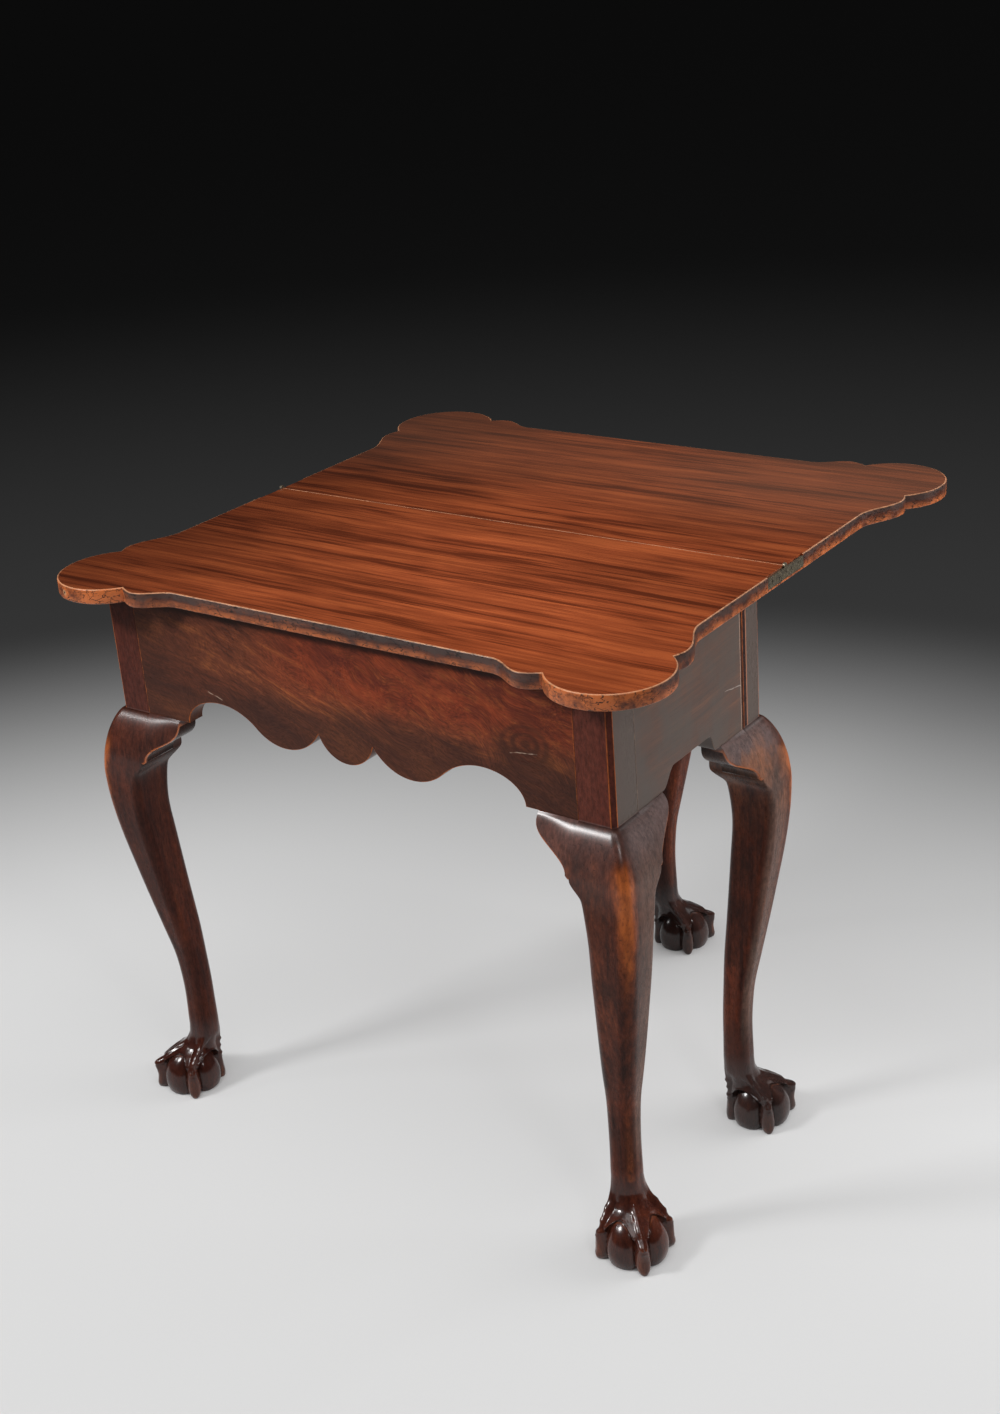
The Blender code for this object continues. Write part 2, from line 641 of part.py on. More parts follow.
def build_inner_back_rail():
    end = HALF_FRAME - RAIL_THICKNESS - FIT
    shape = box((-end, BACK_RAIL_FRONT, RAIL_TOP - BACK_RAIL_HEIGHT), (end, BACK_RAIL_BACK, RAIL_TOP))
    tails = [dovetail(side, number) for side in (-1, 1) for number in range(TAIL_COUNT)]
    shape = join(shape, *tails)
    add_piece("inner_back_rail", cut(shape, *back_screws(FIT)), HIDDEN_FINISH)


def build_glue_blocks():
    front = FRAME_FRONT + RAIL_THICKNESS + FIT
    back = BACK_RAIL_FRONT - FIT - BLOCK_SIDE
    side = HALF_FRAME - RAIL_THICKNESS - FIT
    middle = (FRAME_FRONT + FRAME_BACK) / 2
    places = {"front": (BLOCK_FRONT_AT, front), "back": (BLOCK_BACK_AT, back)}
    for sign, word in ((-1, "left"), (1, "right")):
        for name, (along, low_y) in places.items():
            add_block(f"{word}_{name}_glue_block", (sign * along - BLOCK_LENGTH / 2, low_y),
                      (BLOCK_LENGTH, BLOCK_SIDE))
        low_x = side - BLOCK_SIDE if sign > 0 else -side
        add_block(f"{word}_side_glue_block", (low_x, middle - BLOCK_LENGTH / 2), (BLOCK_SIDE, BLOCK_LENGTH))


def add_block(name, corner, size):
    low = (corner[0], corner[1], RAIL_TOP - BLOCK_SIDE)
    high = (corner[0] + size[0], corner[1] + size[1], RAIL_TOP)
    add_piece(name, box(low, high), HIDDEN_FINISH)


# Gate


def knuckle_rail(side, own_knuckles):
    """Half of the outer back rail: its body, and every other round knuckle about the pivot."""
    radius = GATE_THICKNESS / 2
    shoulder = GATE_PIVOT_X + side * (radius + GATE_KNUCKLE_RELIEF)
    end = side * (STILE_INNER_X - FIT)
    low_x, high_x = min(shoulder, end), max(shoulder, end)
    shape = box((low_x, GATE_FRONT, GATE_BOTTOM), (high_x, GATE_BACK, RAIL_TOP))
    pitch = GATE_HEIGHT / GATE_KNUCKLES
    fingers = []
    for number in own_knuckles:
        bottom = GATE_BOTTOM + pitch * number + (FIT / 2 if number > 0 else 0)
        top = GATE_BOTTOM + pitch * (number + 1) - (FIT / 2 if number < GATE_KNUCKLES - 1 else 0)
        round_end = arc((0, 0), radius, math.pi / 2, 3 * math.pi / 2, KNUCKLE_STEPS)
        plan = [(GATE_PIVOT_X + side * x, GATE_AXIS_Y + y) for x, y in round_end]
        root = shoulder + side * radius
        plan += [(root, GATE_AXIS_Y - radius), (root, GATE_AXIS_Y + radius)]
        fingers.append(prism([(x, y, bottom) for x, y in plan], (0, 0, top - bottom)))
    shape = join(shape, *fingers)
    shape = join(shape, gate_tenon(side))
    bore = GATE_PIN_RADIUS + FIT
    hole = turned(((-bore, bore), (GATE_HEIGHT + bore, bore)), (GATE_PIVOT_X, GATE_AXIS_Y, GATE_BOTTOM),
                  (0, 0, 1), GATE_PIN_SIDES)
    return cut(shape, hole)


def build_gate(gate_pivot):
    fixed = knuckle_rail(1, range(0, GATE_KNUCKLES, 2))
    add_piece("fixed_back_rail", cut(fixed, *back_screws(FIT)), FRAME_FINISH)
    add_piece("gate_rail", knuckle_rail(-1, range(1, GATE_KNUCKLES, 2)), FRAME_FINISH, gate_pivot)
    pin = turned(((0, GATE_PIN_RADIUS), (GATE_HEIGHT, GATE_PIN_RADIUS)),
                 (GATE_PIVOT_X, GATE_AXIS_Y, GATE_BOTTOM), (0, 0, 1), GATE_PIN_SIDES)
    add_piece("gate_pin", pin, STEEL_FINISH)
    for number, screw in enumerate(back_screws(), 1):
        add_piece(f"back_rail_screw_{number}", screw, STEEL_FINISH)


# Legs, in a frame of their own: the stile's outer corner at x = y = 0, with both axes pointing outwards


def knee_drop_rows():
    """Stations of the leg by drop below the stile: outward swell, thickness, ridge, arris."""
    length = RAIL_BOTTOM - FOOT_HEIGHT
    rows = [(0.0, 0.0, STILE, STILE_CHAMFER, KNEE_ARRIS)]
    rows += [(drop, out, STILE + out, ridge, KNEE_ARRIS) for drop, out, ridge in KNEE_CURVE]
    rows += [(EAR_DROP, KNEE_OUT, STILE + KNEE_OUT, KNEE_RIDGE, KNEE_ARRIS)]
    rows += [(EAR_DROP + THROAT_DROP, THROAT_OUT, THROAT_THICKNESS, KNEE_RIDGE, THROAT_ARRIS)]
    rows += [(share * length, out, thick, ridge, arris) for share, out, thick, ridge, arris in LEG_CURVE]
    ankle = ANKLE_WIDTH / 2
    rows += [(length, ankle - ANKLE_SET_IN, ANKLE_WIDTH, ankle, ankle)]
    return rows


def knee_swell(drop):
    """How far the knee stands out from the stile, at a drop below it."""
    return smooth_through(knee_drop_rows(), drop)[0]


def square_reach(angle, half, corner):
    """From the middle of a square with round corners out to its edge, at an angle from a corner."""
    angle = abs(angle)
    flat = half / math.cos(math.pi / 4 - angle)
    tangent = math.pi / 4 - math.atan2(half - corner, half)
    if angle >= tangent:
        return flat
    centre = math.sqrt(2) * (half - corner)
    return centre * math.cos(angle) + math.sqrt(corner ** 2 - (centre * math.sin(angle)) ** 2)


def chamfer_reach(angle, half, chamfer):
    flat = half / math.cos(math.pi / 4 - abs(angle))
    return min(flat, (2 * half - chamfer) / math.sqrt(2) / math.cos(angle))


def ring_angles():
    """Angles round a ring from the outward diagonal, close together near the four corners."""
    return [(quarter, angle) for quarter in range(4) for angle in CORNER_ANGLES]


def ring_points(centre, height, reach):
    """A ring of points about a centre on the diagonal. reach(corner, angle) gives the distance out."""
    points = []
    for quarter, degrees in ring_angles():
        corner, from_corner = quarter, degrees
        if degrees > 45:
            corner, from_corner = (quarter + 1) % 4, degrees - 90
        out = reach(corner, math.radians(from_corner))
        way = math.radians(45 + 90 * quarter + degrees)
        points.append(Vector((centre + out * math.cos(way), centre + out * math.sin(way), height)))
    return points


def stile_ring(height, rear):
    half = STILE / 2
    cants = (STILE_CHAMFER, KNEE_ARRIS, KNEE_ARRIS, REAR_CHAMFER if rear else KNEE_ARRIS)

    def reach(corner, angle):
        return chamfer_reach(angle, half, cants[corner])
    return ring_points(-half, height, reach)


def leg_ring(drop):
    out, thick, ridge, arris = smooth_through(knee_drop_rows(), drop)

    def reach(corner, angle):
        return square_reach(angle, thick / 2, min(ridge if corner == 0 else arris, thick / 2))
    return ring_points(out - thick / 2, RAIL_BOTTOM - drop, reach)


def foot_ring(height):
    ankle = ANKLE_WIDTH / 2
    start = (FOOT_SET_IN - ANKLE_SET_IN) * math.sqrt(2)
    rows = [(FOOT_HEIGHT, start, ankle, ankle, ankle, ankle, ankle, 45.0)] + list(FOOT_CURVE)
    shift, front, front_hollow, side, rear_hollow, rear, spread = smooth_through(rows, height)
    talons = (front, side, rear, side)

    def reach(corner, angle):
        towards_rear = corner == 2 or (corner == 1 and angle > 0) or (corner == 3 and angle < 0)
        hollow = rear_hollow if towards_rear else front_hollow
        share = max(0.0, 1 - (abs(angle) / math.radians(spread)) ** 2) ** 2
        return hollow + (talons[corner] - hollow) * share
    return ring_points(-FOOT_SET_IN + shift / math.sqrt(2), height, reach)


def leg_rings(rear):
    length = RAIL_BOTTOM - FOOT_HEIGHT
    rings = [stile_ring(RAIL_TOP, rear), stile_ring(RAIL_BOTTOM, rear)]
    drops = [share * EAR_DROP for share in KNEE_RINGS]
    first = LEG_RINGS[0] * length
    drops += [EAR_DROP + share * (first - EAR_DROP) for share in BELOW_KNEE_RINGS]
    drops += [share * length for share in LEG_RINGS]
    rings += [leg_ring(drop) for drop in drops]
    rings += [foot_ring(height) for height in FOOT_RINGS]
    return rings


def leg_shape(corner, sign_x, sign_y):
    place = Vector((corner[0], corner[1], 0))
    rings = leg_rings(rear=sign_y > 0)
    return loft([[place + point for point in mirrored(ring, sign_x, sign_y)] for ring in rings])


def ear_edge():
    """Lower edge of a knee bracket as (distance from the leg, drop), from the leg out to the tip."""
    controls = ((EAR_LIP, EAR_DROP - EAR_LIP_RISE), (EAR_LIP, EAR_SHOULDER), (EAR_LENGTH, EAR_SHOULDER),
                (EAR_LENGTH, EAR_TIP))
    edge = [(FIT, EAR_DROP - FIT), (EAR_LIP - EAR_LIP_RISE, EAR_DROP - FIT)]
    for i in range(EAR_STEPS + 1):
        t = i / EAR_STEPS
        weights = ((1 - t) ** 3, 3 * t * (1 - t) ** 2, 3 * t * t * (1 - t), t ** 3)
        edge.append(tuple(sum(w * c[k] for w, c in zip(weights, controls)) for k in (0, 1)))
    return edge


def ear_shape(corner, sign_x, sign_y, along_x):
    """A knee bracket beside the stile, along X or along Y from it, in the leg's own frame."""
    place = Vector((corner[0], corner[1], 0))
    rings = []
    for run, drop in ear_edge():
        fade = 1 - (1 - EAR_TIP_SHARE) * ease(run / EAR_LENGTH)
        section = [(-EAR_DEPTH, 0.0), (-EAR_DEPTH, drop)]
        section += [(knee_swell(drop * (1 - level)) * fade, drop * (1 - level)) for level in EAR_LEVELS]
        along = -STILE - run
        ring = [Vector((along, out, EAR_TOP - below)) for out, below in section]
        if not along_x:
            ring = [Vector((point.y, point.x, point.z)) for point in ring]
        rings.append([place + point for point in mirrored(ring, sign_x, sign_y)])
    return loft(rings)


def build_legs(gate_pivot):
    front_left, front_right = (-HALF_FRAME, FRAME_FRONT), (HALF_FRAME, FRAME_FRONT)
    rear_right, rear_left = (HALF_FRAME, FRAME_BACK), (-HALF_FRAME, FRAME_BACK)
    for word, corner, side in (("front_left", front_left, -1), ("front_right", front_right, 1)):
        shape = cut(leg_shape(corner, side, -1), apron_tenon(side, FIT), side_tenon(side, FIT))
        add_piece(f"{word}_leg", shape, LEG_FINISH)
        add_piece(f"{word}_front_knee_bracket", ear_shape(corner, side, -1, True), LEG_FINISH)
        add_piece(f"{word}_side_knee_bracket", ear_shape(corner, side, -1, False), LEG_FINISH)
    rear_legs = (("rear_right", rear_right, 1, None), ("swing", rear_left, -1, gate_pivot))
    for word, corner, side, pivot in rear_legs:
        shape = cut(leg_shape(corner, side, 1), gate_tenon(side, FIT))
        add_piece(f"{word}_leg", shape, LEG_FINISH, pivot)
        add_piece(f"{word}_knee_bracket", ear_shape(corner, side, 1, False), LEG_FINISH, pivot)


def main():
    clear_scene()
    leaf_pivot = add_pivot("leaf_pivot", (0, 0, HINGE_AXIS_Z))
    gate_pivot = add_pivot("gate_pivot", (GATE_PIVOT_X, GATE_AXIS_Y, 0))
    build_leaf("fixed_top", -1, None)
    build_leaf("folding_leaf", 1, leaf_pivot)
    build_hinges(leaf_pivot)
    build_front_apron()
    build_side_rails()
    build_inner_back_rail()
    build_glue_blocks()
    build_gate(gate_pivot)
    build_legs(gate_pivot)
    gate_pivot.rotation_euler.z = -math.radians(GATE_OPENING)


main()
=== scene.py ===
"""Dresses the foldover tea table: its polished top, figured apron, carved cabriole legs and old hinges."""
import json
import math

import bmesh
import bpy
import numpy as np
from bpy.props import FloatProperty, FloatVectorProperty, PointerProperty
from mathutils import Euler, Matrix, Vector


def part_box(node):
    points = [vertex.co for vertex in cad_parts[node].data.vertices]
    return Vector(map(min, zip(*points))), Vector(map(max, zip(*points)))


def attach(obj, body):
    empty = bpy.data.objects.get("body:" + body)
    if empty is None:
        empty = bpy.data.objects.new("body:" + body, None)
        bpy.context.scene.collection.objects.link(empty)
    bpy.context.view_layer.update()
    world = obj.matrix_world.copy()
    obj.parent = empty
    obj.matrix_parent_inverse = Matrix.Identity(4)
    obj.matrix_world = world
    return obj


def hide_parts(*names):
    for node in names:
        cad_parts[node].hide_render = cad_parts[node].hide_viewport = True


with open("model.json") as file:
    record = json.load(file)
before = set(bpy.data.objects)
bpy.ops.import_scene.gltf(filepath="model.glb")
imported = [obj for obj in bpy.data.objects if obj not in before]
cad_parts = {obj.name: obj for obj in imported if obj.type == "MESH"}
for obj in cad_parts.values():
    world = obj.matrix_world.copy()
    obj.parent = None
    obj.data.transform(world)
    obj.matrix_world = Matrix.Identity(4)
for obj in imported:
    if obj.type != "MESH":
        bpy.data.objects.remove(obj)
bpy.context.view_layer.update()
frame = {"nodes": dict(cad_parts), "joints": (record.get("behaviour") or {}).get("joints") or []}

bl_info = {
    "name": "Foldover Tea Table",
    "version": (1, 0, 0),
    "blender": (4, 5, 0),
    "location": "View3D > Sidebar > Tea Table",
    "description": "Builds the finished surfaces of a mahogany foldover tea table round its frame",
    "category": "Object",
}

# Places read from the frame
TOP_LOW, TOP_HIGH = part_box("fixed_top")
TABLE_HEIGHT = TOP_HIGH.z
UNDERSIDE = TOP_LOW.z
HALF_TOP = TOP_HIGH.x
LEAF_DEPTH = -TOP_LOW.y
HALF_JOINT = -TOP_HIGH.y                     # half of the open joint between the two leaves
APRON_LOW, APRON_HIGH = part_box("front_apron")
RAIL_TOP = APRON_HIGH.z
FRAME_FRONT = APRON_LOW.y
APRON_THICKNESS = APRON_HIGH.y - APRON_LOW.y
HALF_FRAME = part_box("right_side_rail")[1].x
SIDE_RAIL_THICKNESS = HALF_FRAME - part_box("right_side_rail")[0].x
SIDE_RAIL_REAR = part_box("right_side_rail")[1].y
RAIL_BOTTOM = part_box("right_side_rail")[0].z
GATE = next(joint for joint in frame["joints"] if joint["name"] == "gate_hinge")
GATE_OPENING = math.radians(GATE["range_deg"][1])
GATE_PIVOT = Vector(GATE["pos_m"])

# Fits and shading
FIT = 0.0003                                 # clearance between two pieces that touch
LARGE_FACE = 0.0004                          # area from which a face is kept flat, in square metres
LEAST_TURN = math.radians(2)                 # turn from which an edge of such a face shows

# Stiles and the rear of the frame
STILE = 0.044
STILE_CANT = 0.005
REAR_CANT = 0.004
GATE_RAIL_THICKNESS = 0.025
# The shut gate's front face is flush with the front of the rear stiles
FRAME_BACK = GATE_PIVOT.y - GATE_RAIL_THICKNESS / 2 + STILE
SIDE_RAIL_FRONT = FRAME_FRONT + STILE
STILE_INNER_X = HALF_FRAME - STILE

# Cabriole leg, down from the stile: share of the way to the ankle, how far the outer faces stand out,
# thickness, rounding of the outer ridge and of the other arrises
LEG_CURVE = (
    (0.228, 0.0280, 0.0580, 0.0140, 0.010),
    (0.290, 0.0263, 0.0553, 0.0150, 0.011),
    (0.360, 0.0229, 0.0538, 0.0155, 0.012),
    (0.458, 0.0166, 0.0500, 0.0160, 0.012),
    (0.575, 0.0085, 0.0450, 0.0162, 0.012),
    (0.684, 0.0003, 0.0400, 0.0158, 0.0125),
    (0.783, -0.0067, 0.0347, 0.0148, 0.0132),
    (0.895, -0.0092, 0.0336, 0.0142, 0.0140),
)
# Knee: drop below the stile, how far it stands out, rounding of the ridge
KNEE_CURVE = ((0.003, 0.0044, 0.0070), (0.008, 0.0088, 0.0095), (0.016, 0.0134, 0.0105),
              (0.028, 0.0183, 0.0105), (0.041, 0.0221, 0.0108))
KNEE_ARRIS = 0.0002
KNEE_RIDGE = 0.011                           # rounding of the ridge at the knee's foot and the throat
THROAT_ARRIS = 0.007
ANKLE_RIDGE, ANKLE_ARRIS = 0.80, 0.85        # roundings as shares of half the ankle's width
FAIRING_START = 0.016                        # below the brackets' foot, where the fairing starts
FAIRING_REACH = 0.012                        # how far up and down the curves are faired at most
CANT_WEAR_SPREAD = 0.022                     # half angle of the worn stripes along a cant, in radians
# Foot, by height: shift of the middle along the diagonal
FOOT_SHIFT = ((0.088, -0.0239), (0.076, -0.0220), (0.066, -0.0170), (0.058, -0.0110), (0.050, -0.0050),
              (0.044, -0.0020), (0.037, 0.0), (0.0, 0.0))
# Outer talon, by height: how far its crest stands from the foot's own middle
OUTER_TALON = ((0.088, -0.0056), (0.077, -0.0045), (0.070, -0.0015), (0.065, 0.0020), (0.060, 0.0090),
               (0.0555, 0.0180), (0.0510, 0.0270), (0.0465, 0.0320), (0.0432, 0.0365), (0.0410, 0.0415),
               (0.0385, 0.0452), (0.0350, 0.0470), (0.0310, 0.0474), (0.0250, 0.0462), (0.0190, 0.0456),
               (0.0120, 0.0463), (0.0060, 0.0472), (0.0, 0.0460))
# Side and rear talons, by height: how far their crests stand from the shifted middle
SIDE_TALON = ((0.088, 0.0186), (0.076, 0.0200), (0.066, 0.0236), (0.058, 0.0292), (0.052, 0.0345),
              (0.046, 0.0378), (0.0385, 0.0412), (0.034, 0.0440), (0.031, 0.0450), (0.023, 0.0452),
              (0.013, 0.0456), (0.006, 0.0466), (0.0, 0.0452))
REAR_TALON = ((0.088, 0.0186), (0.076, 0.0202), (0.066, 0.0242), (0.058, 0.0294), (0.050, 0.0345),
              (0.044, 0.0372), (0.037, 0.0395), (0.028, 0.0398), (0.018, 0.0404), (0.008, 0.0412),
              (0.0, 0.0400))
# Hollows of the skin between two talons, by height: at the front of the foot and at its rear
SKIN_HOLLOW = ((0.088, 0.0186, 0.0186), (0.076, 0.0182, 0.0192), (0.066, 0.0181, 0.0206),
               (0.060, 0.0190, 0.0232), (0.055, 0.0228, 0.0265), (0.051, 0.0278, 0.0300),
               (0.047, 0.0322, 0.0325), (0.042, 0.0362, 0.0350), (0.0, 0.0362, 0.0350))
# Half width of a talon, and how flat its crest is, by height
TALON_WIDTH = ((0.088, 0.0110, 2.0), (0.066, 0.0066, 2.0), (0.058, 0.0064, 2.1), (0.050, 0.0070, 2.2),
               (0.040, 0.0082, 2.4), (0.032, 0.0092, 2.6), (0.024, 0.0112, 2.8), (0.014, 0.0120, 2.8),
               (0.006, 0.0104, 2.6), (0.0, 0.0074, 2.4))
# Half angle in degrees over which the skin rises to a talon, by height
TALON_SPREAD = ((0.088, 45.0), (0.074, 38.0), (0.066, 26.0), (0.058, 17.0), (0.050, 12.0), (0.044, 10.0),
                (0.0, 8.0))
TALON_LIMIT = math.radians(44)               # angle from its crest at which a talon ends
TALON_ROUNDING = 0.011                       # how far a talon's sides lie below its crest
KNUCKLES = (0.0580, 0.0475, 0.0365)          # heights of a talon's knuckles
KNUCKLE_SPREAD = 0.0024
KNUCKLE_WEAR_SPREAD = 0.0030
# Panels of the ball between the talons: half their width, and the arch of skin over them
PANEL_HALF = math.radians(36)
ARCH_TOP = 0.0530
ARCH_FOOT = 0.0300
# Skin over the ball: its thickness, the lip along its edge and how it turns in under that
SKIN_THICKNESS = 0.0007
SKIN_LIP = 0.0006
SKIN_LIP_WIDTH = 0.0010
SKIN_UNDERCUT = 0.012
SKIN_TURN = 0.0016
# Fillets where the forms of the foot meet: skin on ball, talon low down, and more of it above
BALL_FILLET = 0.0004
TALON_FILLET = 0.0005
UPPER_FILLET = 0.0020
NAIL_TOP = 0.034                             # height at which the nails start
NAIL_WEAR, KNUCKLE_WEAR, BALL_WEAR = 0.27, 0.45, 0.36
SOLE_EASE = 0.0012                           # height from which a foot is tucked in towards the floor
SOLE_TUCK = 0.0016
GLOSS_START = 0.110                          # height under which the feet are polished bright
FOOT_BLEND = 0.066                           # height down to which the ankle fades into the foot

# Finish
NO_TURN = (0.0, 0.0, 0.0)
LICK_TURN = math.radians(-28)                # slant of the apron's licks
POLISH_DEPTH = 0.0012                        # depth of the ripple in an old polish
SCRATCH_WIDTH = 0.0009
RUB_START = 0.0020                           # from a rail's end, where its rubbing starts and is full
RUB_END = 0.0006
# Marks on the top's edge, the apron and the side rails
EDGE_KNOT = (-0.3624, -0.3942, 0.706)
APRON_KNOT = (0.245, 0.0, 0.616)
APRON_SCRATCHES = (((0.225, 0.0, 0.604), (0.259, 0.0, 0.608)), ((-0.202, 0.0, 0.591), (-0.181, 0.0, 0.585)))
SIDE_CRACK = ((0.0, -0.111, 0.604), (0.0, -0.073, 0.597))
# Colours laid over the grain, named for what they show, painted light and shade among them
# Dirt and painted shade in the hollows
HOLLOW_DIRT_AND_SHADE = (0.006, 0.004, 0.003)
# On the top: warmth that is partly a painted pool of light, and a painted grey sheen at the back
TOP_WARMTH_AND_LIGHT = (0.30, 0.055, 0.014)
TOP_PAINTED_SHEEN = (0.22, 0.125, 0.085)
EDGE_GRAIN = ((0.035, 0.010, 0.006), (0.125, 0.034, 0.016), (0.27, 0.075, 0.028))
EDGE_DULL = (0.048, 0.022, 0.018)
EDGE_RUBBED = (0.56, 0.150, 0.042)
EDGE_GREY = (0.056, 0.040, 0.036)
EDGE_CRACK = (0.010, 0.006, 0.005)
KNOT_RIM = (0.48, 0.24, 0.12)
KNOT_HEART = (0.012, 0.007, 0.005)
APRON_DEEP_RED = (0.10, 0.015, 0.008)
APRON_RED = (0.27, 0.045, 0.014)
APRON_GOLD = (0.33, 0.092, 0.025)
APRON_DARK = (0.040, 0.012, 0.008)
APRON_SMOKE = (0.045, 0.0165, 0.011)
# Painted shadow below the top's overhang
APRON_PAINTED_SHADOW = (0.018, 0.007, 0.005)
APRON_KNOT_RINGS = (0.046, 0.015, 0.009)
APRON_SCRATCH_TONE = (0.50, 0.36, 0.27)
# Grey bloom of the side rails, partly a painted sheen
SIDE_BLOOM_AND_SHEEN = (0.090, 0.077, 0.068)
SIDE_CRACK_TONE = (0.42, 0.36, 0.32)
SIDE_WORN = (0.40, 0.27, 0.20)
LEG_SHADE = (0.028, 0.010, 0.007)
LEG_RED = (0.135, 0.029, 0.012)
STILE_RED = (0.128, 0.029, 0.019)
# Grey bloom with a painted sheen on the legs' outer faces
LEG_BLOOM_AND_SHEEN = (0.125, 0.080, 0.062)
# Painted sheen on the knees
KNEE_PAINTED_SHEEN = (0.120, 0.080, 0.076)
RIDGE_RED = (0.24, 0.058, 0.016)
# Painted shade on the left legs
LEFT_LEGS_PAINTED_SHADE = (0.034, 0.0085, 0.006)
REAR_KNEE = (0.24, 0.090, 0.042)
LEG_SPECKS = (0.014, 0.007, 0.005)
FOOT_SHADE = (0.030, 0.0085, 0.0065)
REAR_FOOT_GREY = (0.024, 0.018, 0.017)
# Painted shadow below the top on the stiles
STILE_PAINTED_SHADOW = (0.016, 0.008, 0.007)
# Grey bloom with a painted sheen on the stiles' sides
STILE_BLOOM_AND_SHEEN = (0.100, 0.084, 0.074)
# Painted shadow of the gap at the rear joint, and a painted highlight along it
JOINT_GAP_SHADOW = (0.030, 0.014, 0.013)
JOINT_HIGHLIGHT = (0.38, 0.16, 0.09)
# Metals: where they are rubbed clean, tarnished and stained
BRASS_TONES = ((0.22, 0.18, 0.12), (0.090, 0.074, 0.055), (0.052, 0.050, 0.038))
IRON_TONES = ((0.20, 0.18, 0.16), (0.075, 0.062, 0.052), (0.10, 0.040, 0.018))


# Curves


def ease(share):
    """From 0 to 1, level at both ends."""
    share = np.clip(share, 0.0, 1.0)
    return share * share * (3 - 2 * share)


def arc(centre, radius, start, end, steps):
    """Points round a circle from one angle to another, both ends included."""
    angles = np.linspace(start, end, steps + 1)
    return [(centre[0] + radius * math.cos(a), centre[1] + radius * math.sin(a)) for a in angles]


def through(rows, at):
    """Columns of a smooth curve through rows of (place, value, ...), which never overshoots them."""
    table = np.array(sorted(rows), float)
    places, values = table[:, 0], table[:, 1:]
    at = np.clip(np.asarray(at, float), places[0], places[-1])
    slopes = np.diff(values, axis=0) / np.diff(places)[:, None]
    before, after = slopes[:-1], slopes[1:]
    same_way = before * after > 0
    inner = np.where(same_way, 2 * before * after / np.where(same_way, before + after, 1.0), 0.0)
    tangents = np.vstack([slopes[:1], inner, slopes[-1:]])
    index = np.clip(np.searchsorted(places, at) - 1, 0, len(places) - 2)
    span = places[index + 1] - places[index]
    share = (at - places[index]) / span
    span, share = span[..., None], share[..., None]
    start = (values[index] * (1 + 2 * share) + span * tangents[index] * share) * (1 - share) ** 2
    end = (values[index + 1] * (3 - 2 * share) + span * tangents[index + 1] * (share - 1)) * share ** 2
    return np.moveaxis(start + end, -1, 0)


def softened_max(first, second, blend):
    """The larger of two reaches, with the crease between them rounded over a blend width."""
    mix = np.clip(0.5 + 0.5 * (first - second) / blend, 0.0, 1.0)
    return second + (first - second) * mix + blend * mix * (1 - mix)


# Shapes


def face_outwards(shape):
    """Turns all faces of a closed shape outwards."""
    bmesh.ops.recalc_face_normals(shape, faces=shape.faces)
    if shape.calc_volume(signed=True) < 0:
        bmesh.ops.reverse_faces(shape, faces=shape.faces)


def tube(sides, levels, place):
    """A closed tube whose vertices are moved to place(turn, level), with both ends capped."""
    shape = bmesh.new()
    bmesh.ops.create_cone(shape, cap_ends=True, segments=sides, radius1=1.0, radius2=1.0, depth=1.0)
    upright = [edge for edge in shape.edges if abs(edge.verts[0].co.z - edge.verts[1].co.z) > 0.5]
    bmesh.ops.subdivide_edges(shape, edges=upright, cuts=levels - 2)
    points = np.array([vert.co for vert in shape.verts])
    turn = np.rint(np.arctan2(points[:, 0], points[:, 1]) / (2 * math.pi) * sides).astype(int) % sides
    level = np.rint((0.5 - points[:, 2]) * (levels - 1)).astype(int)
    for vert, where in zip(shape.verts, place(turn, level)):
        vert.co = where
    face_outwards(shape)
    return shape, turn, level


def push(shape, faces, way):
    """Extrudes faces, which also stay behind, and returns the new vertices."""
    made = bmesh.ops.extrude_face_region(shape, geom=faces)["geom"]
    verts = [item for item in made if isinstance(item, bmesh.types.BMVert)]
    bmesh.ops.translate(shape, verts=verts, vec=way)
    return verts


def plate(outline, place, depth):
    """A flat outline of (across, along) points, set by place(across, along) and pushed through a depth."""
    shape = bmesh.new()
    loop = bmesh.ops.create_circle(shape, cap_ends=True, segments=len(outline), radius=1.0)["verts"]
    for vert, (across, along) in zip(loop, outline):
        vert.co = place(across, along)
    push(shape, list(shape.faces), depth)
    face_outwards(shape)
    return shape


def block(low, high):
    """A box between two corners."""
    shape = bmesh.new()
    low, high = Vector(low), Vector(high)
    bmesh.ops.create_cube(shape, size=1.0)
    bmesh.ops.scale(shape, vec=high - low, verts=shape.verts)
    bmesh.ops.translate(shape, vec=(low + high) / 2, verts=shape.verts)
    return shape


def slice_through(shape, place, normal):
    """Cuts new edges into a shape along a plane."""
    geometry = shape.verts[:] + shape.edges[:] + shape.faces[:]
    bmesh.ops.bisect_plane(shape, geom=geometry, plane_co=place, plane_no=normal)


def round_edges(shape, edges, radius, segments):
    """Bevels edges to a radius."""
    bmesh.ops.bevel(shape, geom=edges, offset=radius, offset_type="OFFSET", segments=segments, profile=0.5,
                    affect="EDGES", material=-1, clamp_overlap=False)


def shade(shape, sharp):
    """Smooths a shape up to an angle, and keeps its large flat faces flat."""
    large = {face for face in shape.faces if face.calc_area() > LARGE_FACE}
    for face in shape.faces:
        face.smooth = True
    for edge in shape.edges:
        turn = edge.calc_face_angle(0.0)
        limit = LEAST_TURN if large.intersection(edge.link_faces) else sharp
        edge.smooth = turn < limit


